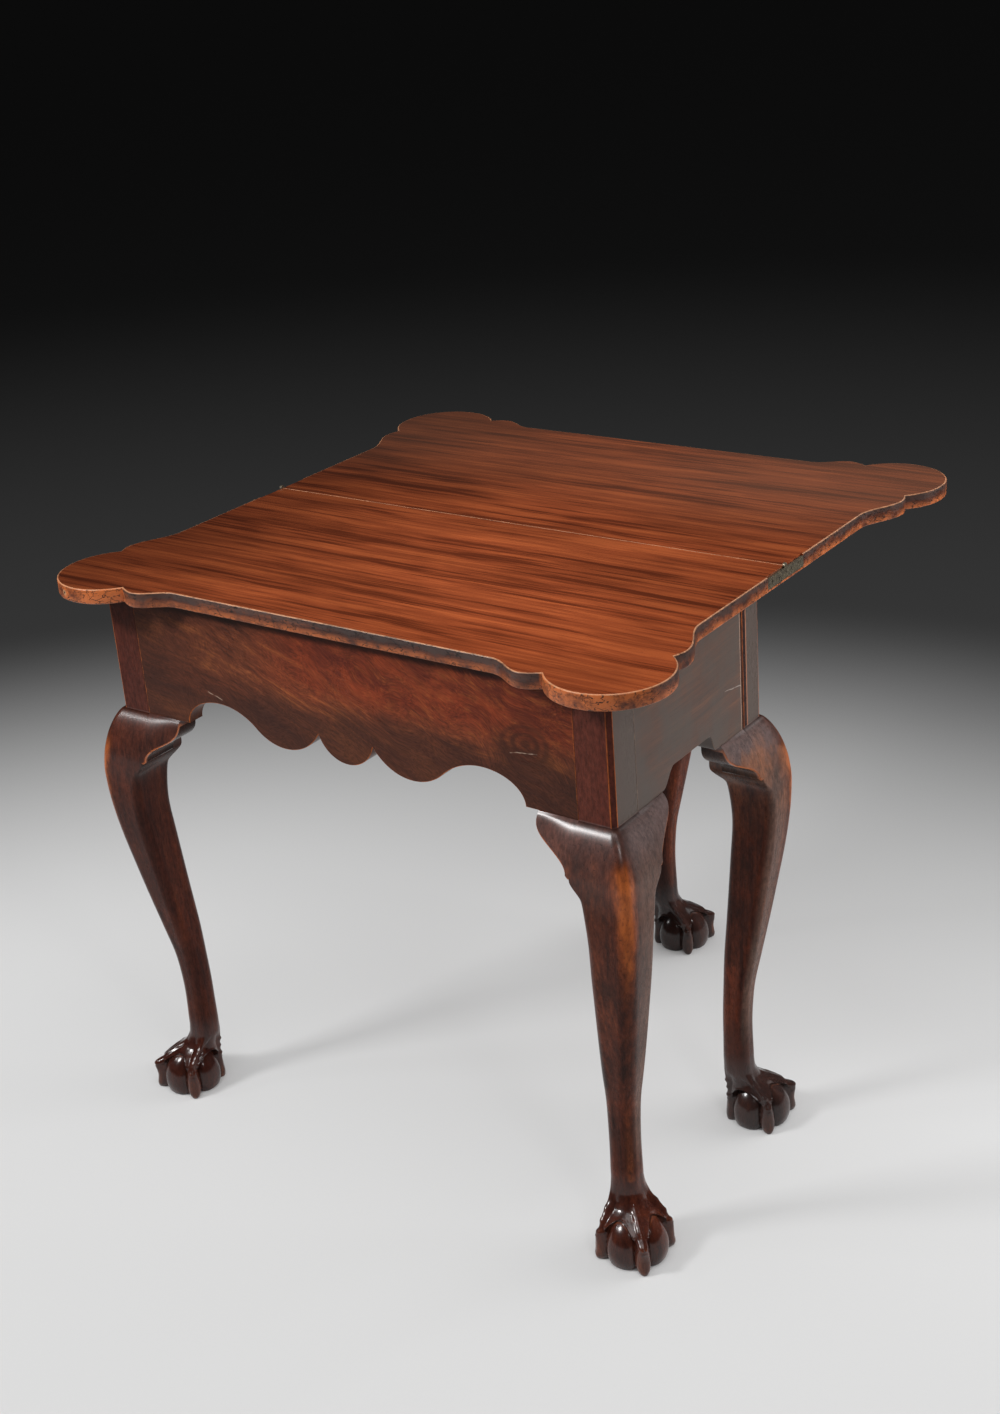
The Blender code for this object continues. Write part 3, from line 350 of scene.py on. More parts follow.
def turned_shape(profile, steps):
    """A round shape about Z from (radius, height) points."""
    shape = bmesh.new()
    verts = [shape.verts.new((radius, 0.0, height)) for radius, height in profile]
    edges = [shape.edges.new(pair) for pair in zip(verts, verts[1:])]
    bmesh.ops.spin(shape, geom=verts + edges, cent=(0, 0, 0), axis=(0, 0, 1), angle=2 * math.pi, steps=steps,
                   use_merge=True)
    bmesh.ops.remove_doubles(shape, verts=shape.verts, dist=1e-6)
    face_outwards(shape)
    return shape


def mark(shape, **values):
    """Stores named values on a shape's vertices, for its material to read."""
    for name, amounts in values.items():
        layer = shape.verts.layers.float.new(name)
        for vert, amount in zip(shape.verts, amounts):
            vert[layer] = amount


def swing_open(shape):
    """Turns a shape made with the gate shut to where the open gate stands at rest."""
    bmesh.ops.rotate(shape, cent=GATE_PIVOT, matrix=Matrix.Rotation(-GATE_OPENING, 3, "Z"), verts=shape.verts)


def new_object(name, shape):
    """An object that takes a shape over."""
    mesh = bpy.data.meshes.new(name)
    shape.to_mesh(mesh)
    shape.free()
    item = bpy.data.objects.new(name, mesh)
    bpy.context.scene.collection.objects.link(item)
    return item


def cut_out(shape, cutters):
    """The shape that is left when others are cut out of it."""
    left = new_object("cut", shape)
    tools = [new_object("cutter", cutter) for cutter in cutters]
    for tool in tools:
        modifier = left.modifiers.new("recess", "BOOLEAN")
        modifier.object = tool
        modifier.solver = "EXACT"
    bpy.context.view_layer.update()
    result = bmesh.new()
    result.from_object(left, bpy.context.evaluated_depsgraph_get())
    for trial in (left, *tools):
        mesh = trial.data
        bpy.data.objects.remove(trial)
        bpy.data.meshes.remove(mesh)
    return result


def add_piece(name, shape, materials, body, slot, *nodes, sharp=35.0):
    """Makes a finished piece that rides on a body and stands for CAD nodes."""
    shade(shape, math.radians(sharp))
    piece = new_object(name, shape)
    for material in materials:
        piece.data.materials.append(material)
    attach(piece, body)
    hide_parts(*nodes)


def dress_node(name, material):
    """Gives a CAD node that keeps its shape a finished material."""
    node = frame["nodes"][name]
    if not node.data.materials:
        node.data.materials.append(material)
    for index in range(len(node.data.materials)):
        node.data.materials[index] = material


# Shader nodes


def add_node(tree, kind, inputs=None, **settings):
    """Adds a node, sets it up and joins or fills its inputs. Colours are given as three numbers."""
    item = tree.nodes.new(kind)
    for name, value in settings.items():
        setattr(item, name, value)
    for key, value in (inputs or {}).items():
        socket = item.inputs[key]
        if isinstance(value, bpy.types.NodeSocket):
            tree.links.new(value, socket)
        elif socket.type == "RGBA":
            socket.default_value = (*value, 1.0)
        else:
            socket.default_value = value
    return item


def calc(tree, operation, first, second=0.0, third=0.0, clamp=False):
    """A sum or another operation on up to three values."""
    inputs = {0: first, 1: second, 2: third}
    return add_node(tree, "ShaderNodeMath", inputs, operation=operation, use_clamp=clamp).outputs[0]


def total(tree, *parts):
    """The sum of values, each times its weight."""
    result = 0.0
    for value, weight in parts:
        result = calc(tree, "MULTIPLY_ADD", value, weight, result)
    return result


def swing(tree, value, amount):
    """A noise value as a swing to both sides of nothing."""
    return calc(tree, "MULTIPLY_ADD", value, amount, -amount / 2)


def times(tree, first, *others):
    """Values multiplied together."""
    for other in others:
        first = calc(tree, "MULTIPLY", first, other)
    return first


def vector_calc(tree, operation, first, second=(0.0, 0.0, 0.0)):
    """A new vector, or the number that a dot product or a length gives."""
    item = add_node(tree, "ShaderNodeVectorMath", {0: first, 1: second}, operation=operation)
    return item.outputs["Value" if operation in ("DOT_PRODUCT", "LENGTH", "DISTANCE") else "Vector"]


def scaled(tree, vector, factor):
    return add_node(tree, "ShaderNodeVectorMath", {0: vector, "Scale": factor}, operation="SCALE").outputs[0]


def stretched(tree, vector, factors):
    return vector_calc(tree, "MULTIPLY", vector, factors)


def mixed(tree, share, first, second, blend="MIX"):
    """Two colours mixed, by the share of the second."""
    inputs = {0: share, 6: first, 7: second}
    return add_node(tree, "ShaderNodeMix", inputs, data_type="RGBA", blend_type=blend).outputs[2]


def layered(tree, base, *layers):
    """Colours laid over a base in turn, each as far as its mask says."""
    for mask, colour in layers:
        base = mixed(tree, mask, base, colour)
    return base


def shaded(tree, colour, factor):
    """A colour made lighter or darker by a factor."""
    return mixed(tree, 1.0, colour, factor, "MULTIPLY")


def spread(tree, value, low, high, to_low=0.0, to_high=1.0):
    """A value carried smoothly from one range to another."""
    return add_node(tree, "ShaderNodeMapRange", {0: value, 1: low, 2: high, 3: to_low, 4: to_high},
                    interpolation_type="SMOOTHSTEP").outputs[0]


def noise(tree, vector, scale, detail=2.0, roughness=0.5, distortion=0.0, output="Fac"):
    return add_node(tree, "ShaderNodeTexNoise", {"Vector": vector, "Scale": scale, "Detail": detail,
                    "Roughness": roughness, "Distortion": distortion}).outputs[output]


def bent(tree, vector, scale, amount):
    """A vector pushed about by a slow noise."""
    drift = vector_calc(tree, "SUBTRACT", noise(tree, vector, scale, output="Color"), (0.5, 0.5, 0.5))
    return vector_calc(tree, "ADD", vector, scaled(tree, drift, amount))


def split(tree, vector):
    return add_node(tree, "ShaderNodeSeparateXYZ", {0: vector}).outputs


def attribute(tree, name):
    return add_node(tree, "ShaderNodeAttribute", attribute_name=name).outputs["Fac"]


def surface(tree, turn=NO_TURN, shift=(0.0, 0.0, 0.0)):
    """Object coordinates, turned so that the grain runs along X."""
    coordinates = add_node(tree, "ShaderNodeTexCoord").outputs["Object"]
    inputs = {"Vector": coordinates, "Rotation": turn, "Location": shift}
    return add_node(tree, "ShaderNodeMapping", inputs).outputs[0]


def new_group(name, inputs, outputs):
    """An empty shader node group with its named sockets."""
    group = bpy.data.node_groups.new(name, "ShaderNodeTree")
    for kind, direction in ((inputs, "INPUT"), (outputs, "OUTPUT")):
        for socket, socket_type in kind:
            group.interface.new_socket(name=socket, in_out=direction, socket_type=f"NodeSocket{socket_type}")
    return group, group.nodes.new("NodeGroupInput").outputs, group.nodes.new("NodeGroupOutput").inputs


def grouped(tree, maker, inputs):
    """Places a node group in a tree, built the first time that it is needed, and returns its outputs."""
    name = maker.__name__.replace("_", " ").title()
    group = bpy.data.node_groups.get(name) or maker(name)
    return add_node(tree, "ShaderNodeGroup", inputs, node_tree=group).outputs


def mahogany_grain(name):
    """Colour and pores of mahogany, with the grain along X of its Vector."""
    group, start, end = new_group(
        name,
        (("Vector", "Vector"), ("Dark", "Color"), ("Middle", "Color"), ("Light", "Color"),
         ("Band Width", "Float"), ("Waviness", "Float"), ("Figure", "Float"), ("Contrast", "Float")),
        (("Color", "Color"), ("Pores", "Float")))
    way = bent(group, start["Vector"], 4.0, start["Waviness"])
    per_band = calc(group, "DIVIDE", 1.0, start["Band Width"])
    bands = noise(group, scaled(group, stretched(group, way, (0.045, 1.0, 1.0)), per_band), 0.55, 3.0, 0.6)
    ribbons = noise(group, stretched(group, way, (0.030, 1.0, 1.0)), 170.0)
    streaks = noise(group, stretched(group, way, (0.022, 1.0, 1.0)), 480.0)
    figure = noise(group, stretched(group, way, (0.30, 1.0, 1.0)), 26.0, distortion=0.6)
    shimmer = times(group, swing(group, figure, 1.0), start["Figure"])
    tone = total(group, (bands, 0.42), (ribbons, 0.34), (streaks, 0.24), (shimmer, 1.0))
    tone = calc(group, "MULTIPLY_ADD", calc(group, "SUBTRACT", tone, 0.5), start["Contrast"], 0.5)
    colour = mixed(group, spread(group, tone, 0.32, 0.52), start["Dark"], start["Middle"])
    colour = mixed(group, spread(group, tone, 0.50, 0.70), colour, start["Light"])
    dashes = noise(group, stretched(group, way, (0.035, 1.0, 1.0)), 1500.0, detail=1.0)
    pores = spread(group, dashes, 0.60, 0.70)
    colour = mixed(group, times(group, pores, 0.42), colour, start["Dark"])
    group.links.new(colour, end["Color"])
    group.links.new(pores, end["Pores"])
    return group


def worn_edges(name):
    """Lays a worn colour over a finish where a mask says, broken up as wear is, and dirt and painted shade in
    the hollows.
    """
    group, start, end = new_group(
        name,
        (("Vector", "Vector"), ("Color", "Color"), ("Worn Color", "Color"), ("Wear", "Float"),
         ("Grime", "Float")),
        (("Color", "Color"), ("Wear", "Float")))
    vector = start["Vector"]
    patches = noise(group, stretched(group, vector, (0.35, 1.0, 1.0)), 110.0, detail=4.0, roughness=0.65)
    reach = calc(group, "ADD", start["Wear"], swing(group, patches, 1.1))
    flecks = spread(group, noise(group, stretched(group, vector, (0.5, 1.0, 1.0)), 480.0), 0.57, 0.65)
    whole = calc(group, "MULTIPLY_ADD", flecks, -0.6, 1.0)
    mask = times(group, spread(group, reach, 0.28, 0.95), spread(group, start["Wear"], 0.02, 0.25), whole)
    dirt_and_shade = calc(group, "MULTIPLY", start["Grime"], 0.85, clamp=True)
    colour = layered(group, start["Color"], (mask, start["Worn Color"]), (dirt_and_shade, HOLLOW_DIRT_AND_SHADE))
    group.links.new(colour, end["Color"])
    group.links.new(mask, end["Wear"])
    return group


def old_polish(name):
    """Roughness and height of an old wax polish: smears, fine scratches, open pores and a faint ripple."""
    group, start, end = new_group(
        name,
        (("Vector", "Vector"), ("Gloss Roughness", "Float"), ("Pores", "Float"), ("Wear", "Float")),
        (("Roughness", "Float"), ("Height", "Float")))
    vector = start["Vector"]
    smears = noise(group, vector, 14.0, detail=4.0, roughness=0.6)
    fine = noise(group, stretched(group, vector, (0.2, 1.0, 1.0)), 600.0)
    ripple = noise(group, vector, 38.0)
    dents = noise(group, vector, 210.0, detail=3.0)
    rough = total(group, (start["Gloss Roughness"], 1.0), (swing(group, smears, 0.16), 1.0),
                  (swing(group, fine, 0.07), 1.0), (start["Pores"], 0.10), (start["Wear"], 0.14))
    height = total(group, (ripple, 1.0), (dents, 0.22), (start["Pores"], -0.25), (fine, 0.10))
    group.links.new(calc(group, "MAXIMUM", rough, 0.05), end["Roughness"])
    group.links.new(height, end["Height"])
    return group


def thin_line(name):
    """A thin mark from Start to End, as a mask."""
    group, start, end = new_group(
        name, (("Vector", "Vector"), ("Start", "Vector"), ("End", "Vector"), ("Width", "Float")),
        (("Mask", "Float"),))
    along = vector_calc(group, "SUBTRACT", start["End"], start["Start"])
    away = vector_calc(group, "SUBTRACT", start["Vector"], start["Start"])
    share = calc(group, "DIVIDE", vector_calc(group, "DOT_PRODUCT", away, along),
                 vector_calc(group, "DOT_PRODUCT", along, along), clamp=True)
    gap = vector_calc(group, "DISTANCE", away, scaled(group, along, share))
    group.links.new(spread(group, gap, start["Width"], 0.0), end["Mask"])
    return group


def bumped(tree, height, strength, depth):
    """The normal of a surface that a height lifts and sinks."""
    inputs = {"Strength": strength, "Distance": depth, "Height": height}
    return add_node(tree, "ShaderNodeBump", inputs).outputs[0]


def end_material(tree, inputs):
    """Ends a material with its Principled shader."""
    shader = add_node(tree, "ShaderNodeBsdfPrincipled", inputs).outputs[0]
    add_node(tree, "ShaderNodeOutputMaterial", {"Surface": shader})


def finish_shader(tree, base, roughness, height, bump, depth, metallic=0.0, coat=0.0, coat_roughness=0.1,
                  specular=0.5):
    """Ends a material of the table's own pieces."""
    end_material(tree, {
        "Base Color": base, "Roughness": roughness, "Metallic": metallic,
        "Normal": bumped(tree, height, bump, depth), "Coat Weight": coat, "Coat Roughness": coat_roughness,
        "Specular IOR Level": specular})


def new_material(name):
    """An empty material, and its tree of nodes."""
    material = bpy.data.materials.new(name)
    material.use_nodes = True
    material.node_tree.nodes.clear()
    return material, material.node_tree


def grained(tree, vector, colours, band, waviness, figure, contrast):
    """Mahogany grain in three colours, from dark to light."""
    inputs = dict(zip(("Dark", "Middle", "Light"), colours))
    inputs.update({"Vector": vector, "Band Width": band, "Waviness": waviness, "Figure": figure,
                   "Contrast": contrast})
    return grouped(tree, mahogany_grain, inputs)


def polished_over(tree, vector, base, worn, wear, grime, pores, gloss, bump, **shader):
    """Ends a wood's material: worn arrises over its base colour, and an old polish over both."""
    edges = grouped(tree, worn_edges, {
        "Vector": vector, "Color": base, "Worn Color": worn, "Wear": wear, "Grime": grime})
    polish = grouped(tree, old_polish, {
        "Vector": vector, "Gloss Roughness": gloss, "Pores": pores, "Wear": edges["Wear"]})
    finish_shader(tree, edges["Color"], polish["Roughness"], polish["Height"], bump, POLISH_DEPTH, **shader)


def scratched(tree, flat, base, ends, tone):
    """A thin pale scratch between two ends, over a surface whose coordinates are laid flat."""
    wavy = bent(tree, flat, 60.0, 0.004)
    inputs = {"Vector": wavy, "Start": ends[0], "End": ends[1], "Width": SCRATCH_WIDTH}
    mask = grouped(tree, thin_line, inputs)["Mask"]
    return mixed(tree, times(tree, mask, 0.85), base, tone)


def wood_material(name, colours, turn=NO_TURN, band=0.012, waviness=0.010, figure=0.25, contrast=1.2,
                  gloss=0.24, coat=0.0, coat_roughness=0.08, specular=0.18, worn=(0.34, 0.12, 0.045),
                  bump=0.10, tint=None, rubbed=None):
    """Polished mahogany with worn arrises. A piece's attributes for wear and for grime with painted shade say
    where.
    """
    material, tree = new_material(name)
    vector = surface(tree, turn)
    grain = grained(tree, vector, colours, band, waviness, figure, contrast)
    base = tint(tree, grain["Color"]) if tint else grain["Color"]
    wear = attribute(tree, "wear")
    if rubbed:
        wear = calc(tree, "MAXIMUM", wear, rubbed(tree))
    polished_over(tree, vector, base, worn, wear, attribute(tree, "grime"), grain["Pores"], gloss, bump,
                  coat=coat(tree) if callable(coat) else coat, coat_roughness=coat_roughness,
                  specular=specular)
    return material


def top_tones(tree, colour):
    """The top's slow changes: painted shade at the left and the back, and a little at the far right; at the
    front right a warmth that is partly a painted pool of light; a painted grey sheen at the back; a random
    cloudy tone over all.
    """
    vector = surface(tree)
    across, along, _ = split(tree, vector)
    clouds = noise(tree, stretched(tree, vector, (0.4, 1.0, 1.0)), 9.0, detail=3.0, roughness=0.55)
    # Painted shade: darker at the left and the back and a little at the far right, over a random cloudy tone
    painted_falloff_and_tone = times(tree, spread(tree, across, -0.42, 0.05, 0.48, 1.18),
                 spread(tree, across, 0.10, 0.42, 1.0, 0.78), spread(tree, along, -0.05, 0.25, 1.0, 0.84),
                 spread(tree, clouds, 0.30, 0.70, 0.80, 1.18))
    # Warmer at the front right, partly a painted pool of light; a painted grey sheen at the back
    warm_and_lit = times(tree, spread(tree, across, 0.0, 0.32), spread(tree, along, -0.08, -0.30), 0.16)
    painted_sheen = times(tree, spread(tree, along, 0.02, 0.28), spread(tree, across, -0.05, 0.25, 0.20, 0.34))
    return layered(tree, shaded(tree, colour, painted_falloff_and_tone), (warm_and_lit, TOP_WARMTH_AND_LIGHT), (painted_sheen, TOP_PAINTED_SHEEN))


def top_edge_material(finish, lobe_radius):
    """The worn edge of the top: grey-brown above, rubbed orange below and on the lobes, with pits, and a pale
    upper arris that is partly wear and partly a painted highlight.
    """
    material, tree = new_material("top_edge")
    vector = surface(tree)
    height = split(tree, vector)[2]
    grain = grained(tree, vector, EDGE_GRAIN, band=0.006, waviness=0.010, figure=0.6, contrast=1.4)
    mirrored = stretched(tree, vector_calc(tree, "ABSOLUTE", vector), (1.0, 1.0, 0.0))
    lobe_middle = (HALF_TOP - lobe_radius, LEAF_DEPTH - lobe_radius, 0.0)
    from_lobe = vector_calc(tree, "DISTANCE", mirrored, lobe_middle)
    outermost = spread(tree, split(tree, mirrored)[1], LEAF_DEPTH - lobe_radius, LEAF_DEPTH - 0.025)
    on_lobe = times(tree, spread(tree, from_lobe, lobe_radius + 0.004, lobe_radius + 0.001), outermost)
    off_lobe = calc(tree, "SUBTRACT", 1.0, on_lobe)
    blotches = noise(tree, vector, 36.0, detail=5.0, roughness=0.7)
    rise = calc(tree, "ADD", height, swing(tree, blotches, 0.026))
    middle = (TABLE_HEIGHT + UNDERSIDE) / 2
    upper = times(tree, spread(tree, rise, middle, middle + 0.005), off_lobe, 0.74)
    lower = spread(tree, height, middle + 0.002, UNDERSIDE, 0.0, 0.80)
    orange = times(tree, spread(tree, blotches, 0.64, 0.44),
                   calc(tree, "MAXIMUM", times(tree, on_lobe, 0.95), lower))
    threads = noise(tree, stretched(tree, vector, (1.0, 1.0, 2.0)), 75.0, detail=3.0)
    threads = calc(tree, "ABSOLUTE", swing(tree, threads, 2.0))
    cracks = times(tree, spread(tree, threads, 0.060, 0.015), spread(tree, blotches, 0.58, 0.46), 0.9)
    pits = spread(tree, noise(tree, vector, 330.0, detail=3.0), 0.64, 0.70)
    marks = calc(tree, "MAXIMUM", cracks, pits)
    from_knot = vector_calc(tree, "DISTANCE", vector, EDGE_KNOT)
    base = layered(tree, grain["Color"], (times(tree, off_lobe, 0.32), EDGE_DULL), (orange, EDGE_RUBBED),
                   (upper, EDGE_GREY), (marks, EDGE_CRACK),
                   (spread(tree, from_knot, 0.0048, 0.0034), KNOT_RIM),
                   (spread(tree, from_knot, 0.0030, 0.0020), KNOT_HEART))
    # The pale upper arris: partly wear, partly a painted highlight
    upper_arris_and_highlight = spread(tree, height, TABLE_HEIGHT - 0.0017, TABLE_HEIGHT - 0.0002, 0.0, 0.78)
    lower_arris = spread(tree, height, UNDERSIDE + 0.0016, UNDERSIDE + 0.0004)
    rubbing = calc(tree, "MAXIMUM", upper_arris_and_highlight, times(tree, lower_arris, 0.45))
    polished_over(tree, vector, base, finish.arris_worn, rubbing, 0.0, marks, gloss=0.30, bump=0.45,
                  specular=0.35)
    return material


def apron_figure(tree, colour):
    """Licks that fall to the right: red above the middle, gold at the right, smoky at the left and low down.

    A painted shadow lies as a dark band below the top, and there are a knot and two scratches.
    """
    vector = surface(tree)
    across, _, up = split(tree, vector)
    rise = calc(tree, "SUBTRACT", up, RAIL_BOTTOM)
    way = bent(tree, surface(tree, (0.0, LICK_TURN, 0.0)), 8.0, 0.10)
    licks = noise(tree, stretched(tree, way, (0.16, 1.0, 1.0)), 190.0, detail=5.0, roughness=0.68)
    clouds = noise(tree, stretched(tree, way, (0.45, 1.0, 1.0)), 26.0, detail=6.0, roughness=0.66)
    red = times(tree, spread(tree, across, -0.15, -0.03), spread(tree, rise, 0.050, 0.095), 0.75)
    reds = mixed(tree, spread(tree, clouds, 0.35, 0.65), APRON_DEEP_RED, APRON_RED)
    gold = times(tree, spread(tree, licks, 0.50, 0.72), spread(tree, across, -0.10, 0.14, 0.12, 1.0), 0.55)
    dark = times(tree, spread(tree, licks, 0.46, 0.30), 0.45)
    low = spread(tree, calc(tree, "ADD", rise, swing(tree, clouds, 0.09)), 0.085, 0.035, 0.0, 0.78)
    smoke = calc(tree, "MAXIMUM", low, spread(tree, across, -0.12, -0.28, 0.0, 0.68))
    toned = layered(tree, colour, (red, reds), (gold, APRON_GOLD), (dark, APRON_DARK), (smoke, APRON_SMOKE))
    fine = noise(tree, stretched(tree, way, (0.12, 1.0, 1.0)), 620.0, detail=4.0, roughness=0.7)
    toned = shaded(tree, toned, spread(tree, fine, 0.28, 0.72, 0.66, 1.30))
    # Painted shadow of the top's overhang: a dark band below the top
    below_top = spread(tree, up, RAIL_TOP - 0.017, RAIL_TOP - 0.008, 0.0, 0.75)
    flat = stretched(tree, vector, (1.0, 0.0, 1.0))
    knot = vector_calc(tree, "SUBTRACT", bent(tree, flat, 30.0, 0.008), APRON_KNOT)
    from_knot = vector_calc(tree, "LENGTH", stretched(tree, knot, (0.80, 0.0, 1.1)))
    rings = spread(tree, calc(tree, "SINE", times(tree, from_knot, 620.0)), -1.0, 1.0, 0.35, 0.75)
    rings = times(tree, rings, spread(tree, from_knot, 0.042, 0.016))
    toned = layered(tree, toned, (below_top, APRON_PAINTED_SHADOW), (rings, APRON_KNOT_RINGS))
    for ends in APRON_SCRATCHES:
        toned = scratched(tree, flat, toned, ends, APRON_SCRATCH_TONE)
    return toned


def apron_ends(tree):
    """The apron's rubbed ends, where it meets the stiles."""
    across = calc(tree, "ABSOLUTE", split(tree, surface(tree))[0])
    return spread(tree, across, STILE_INNER_X - RUB_START, STILE_INNER_X - RUB_END, 0.0, 0.55)


def side_bloom(tree, colour):
    """The grey bloom of the side rails, partly a painted sheen, with a pale crack near the rear."""
    vector = surface(tree)
    clouds = noise(tree, stretched(tree, vector, (1.0, 1.0, 0.6)), 26.0, detail=5.0, roughness=0.6)
    # Grey over most of the face: partly bloom, partly a painted sheen
    toned = mixed(tree, spread(tree, clouds, 0.30, 0.70, 0.66, 0.92), colour, SIDE_BLOOM_AND_SHEEN)
    return scratched(tree, stretched(tree, vector, (0.0, 1.0, 1.0)), toned, SIDE_CRACK, SIDE_CRACK_TONE)


def side_ends(tree):
    """The side rails' rubbed ends, where they meet the stiles."""
    along = split(tree, surface(tree))[1]
    front = spread(tree, along, SIDE_RAIL_FRONT + RUB_START, SIDE_RAIL_FRONT + RUB_END)
    rear = spread(tree, along, SIDE_RAIL_REAR - RUB_START, SIDE_RAIL_REAR - RUB_END)
    return calc(tree, "MAXIMUM", times(tree, front, 0.55), rear)


def leg_mottle(tree, colour):
    """Mottled dark and red, with a grey bloom and painted sheen on the outer faces, a painted sheen on the
    knees, redder ridges, painted shade on the left legs, dark specks and darker feet.

    The stiles are red in front and grey at the sides with bloom and a painted sheen, with a painted shadow
    below the top and a painted shadow and highlight at the rear joint.
    """
    vector = surface(tree)
    across, along, height = split(tree, vector)
    wear, sheen_faces = attribute(tree, "wear"), attribute(tree, "bloom")
    facing = split(tree, add_node(tree, "ShaderNodeTexCoord").outputs["Normal"])
    sideways = calc(tree, "ABSOLUTE", facing[0])
    clouds = noise(tree, stretched(tree, vector, (1.0, 1.0, 0.45)), 32.0, detail=5.0, roughness=0.65)
    outer = spread(tree, calc(tree, "ABSOLUTE", across), 0.20, 0.28)
    rearward = spread(tree, along, -0.20, -0.12)
    stile = spread(tree, height, RAIL_BOTTOM - 0.002, RAIL_BOTTOM + 0.002)
    # Grey bloom and painted sheen on the outer faces
    bloom = times(tree, sheen_faces, spread(tree, clouds, 0.30, 0.65, 1.0, 0.60), outer, 0.72)
    # Painted sheen over the upper knee, below its highlight, stronger on the right legs
    knee = times(tree, spread(tree, height, RAIL_BOTTOM - 0.062, RAIL_BOTTOM - 0.012),
                 spread(tree, wear, 0.30, 0.05),
                 spread(tree, height, RAIL_BOTTOM + 0.001, RAIL_BOTTOM - 0.001),
                 spread(tree, across, -0.25, 0.25, 0.06, 0.78), spread(tree, sheen_faces, 0.1, 0.6, 0.45, 1.0))
    ridge = times(tree, spread(tree, wear, 0.03, 0.45, 0.0, 0.85),
                  spread(tree, clouds, 0.62, 0.42, 0.35, 1.0))
    # Painted shade: the left legs darker, except on their worn ridges
    left = times(tree, spread(tree, across, -0.10, -0.25), spread(tree, wear, 0.5, 0.2), 0.45)
    rear_knee = times(tree, rearward, spread(tree, height, RAIL_BOTTOM - 0.15, RAIL_BOTTOM - 0.04),
                      spread(tree, height, RAIL_BOTTOM, RAIL_BOTTOM - 0.03),
                      spread(tree, clouds, 0.58, 0.40), 0.70)
    toned = layered(tree, colour, (spread(tree, clouds, 0.50, 0.68, 0.0, 0.75), LEG_SHADE),
                    (spread(tree, clouds, 0.50, 0.34, 0.0, 0.60), LEG_RED),
                    (times(tree, stile, 0.60), STILE_RED), (bloom, LEG_BLOOM_AND_SHEEN), (knee, KNEE_PAINTED_SHEEN),
                    (ridge, RIDGE_RED), (left, LEFT_LEGS_PAINTED_SHADE), (rear_knee, REAR_KNEE))
    fine = noise(tree, stretched(tree, vector, (1.0, 1.0, 0.4)), 260.0, detail=5.0, roughness=0.7)
    toned = shaded(tree, toned, spread(tree, fine, 0.28, 0.72, 0.62, 1.36))
    specks = spread(tree, noise(tree, vector, 420.0), 0.66, 0.72, 0.0, 0.80)
    foot = spread(tree, height, 0.105, 0.075, 0.0, 0.48)
    rear_foot = times(tree, rearward, spread(tree, height, 0.17, 0.09), 0.62)
    # Painted shadow of the top's overhang on the stiles
    below_top = spread(tree, height, RAIL_TOP - 0.026, RAIL_TOP - 0.010, 0.0, 0.80)
    # Grey bloom and painted sheen on the outer side faces of the stiles
    sheen_on_stile_sides = times(tree, stile, spread(tree, sideways, 0.90, 0.99, 0.0, 0.85), outer)
    # Painted shadow of the joint gap behind the side rail's end, and a painted highlight line along it
    from_joint = calc(tree, "SUBTRACT", along, SIDE_RAIL_REAR)
    painted_joint_shadow = times(tree, sheen_on_stile_sides, spread(tree, from_joint, -0.004, -0.002),
                  spread(tree, from_joint, 0.0125, 0.0115), 1.1)
    from_line = calc(tree, "ABSOLUTE", calc(tree, "SUBTRACT", from_joint, 0.0128))
    line = times(tree, sheen_on_stile_sides, spread(tree, from_line, 0.0014, 0.0005))
    return layered(tree, toned, (specks, LEG_SPECKS), (foot, FOOT_SHADE), (rear_foot, REAR_FOOT_GREY),
                   (below_top, STILE_PAINTED_SHADOW), (sheen_on_stile_sides, STILE_BLOOM_AND_SHEEN), (painted_joint_shadow, JOINT_GAP_SHADOW), (line, JOINT_HIGHLIGHT))


def leg_gloss(tree):
    """Where the legs are polished brightest: the knees and the feet."""
    height = split(tree, surface(tree))[2]
    knee = times(tree, spread(tree, height, RAIL_BOTTOM - 0.10, RAIL_BOTTOM - 0.03),
                 spread(tree, height, RAIL_BOTTOM + 0.002, RAIL_BOTTOM))
    gloss = calc(tree, "MAXIMUM", knee, spread(tree, height, GLOSS_START, 0.07, 0.0, 0.62))
    return times(tree, gloss, spread(tree, attribute(tree, "grime"), 0.1, 0.6, 1.0, 0.0))


def dry_wood_material(name, colours, turn=NO_TURN):
    """Plain unpolished wood with saw marks across the grain."""
    material, tree = new_material(name)
    vector = surface(tree, turn)
    dark = colours[0]
    grain = grained(tree, vector, colours, band=0.010, waviness=0.02, figure=0.3, contrast=1.2)
    wave = {"Vector": vector, "Scale": 90.0, "Distortion": 3.0, "Detail": 2.0}
    marks = add_node(tree, "ShaderNodeTexWave", wave, bands_direction="X").outputs["Fac"]
    dust = spread(tree, noise(tree, vector, 22.0, detail=5.0, roughness=0.7), 0.42, 0.75)
    base = layered(tree, grain["Color"], (times(tree, dust, 0.45), dark), (times(tree, marks, 0.10), dark))
    rough = spread(tree, dust, 0.0, 1.0, 0.62, 0.86)
    finish_shader(tree, base, rough, total(tree, (marks, 0.35), (grain["Pores"], -0.5)), 0.45, 0.0008)
    return material


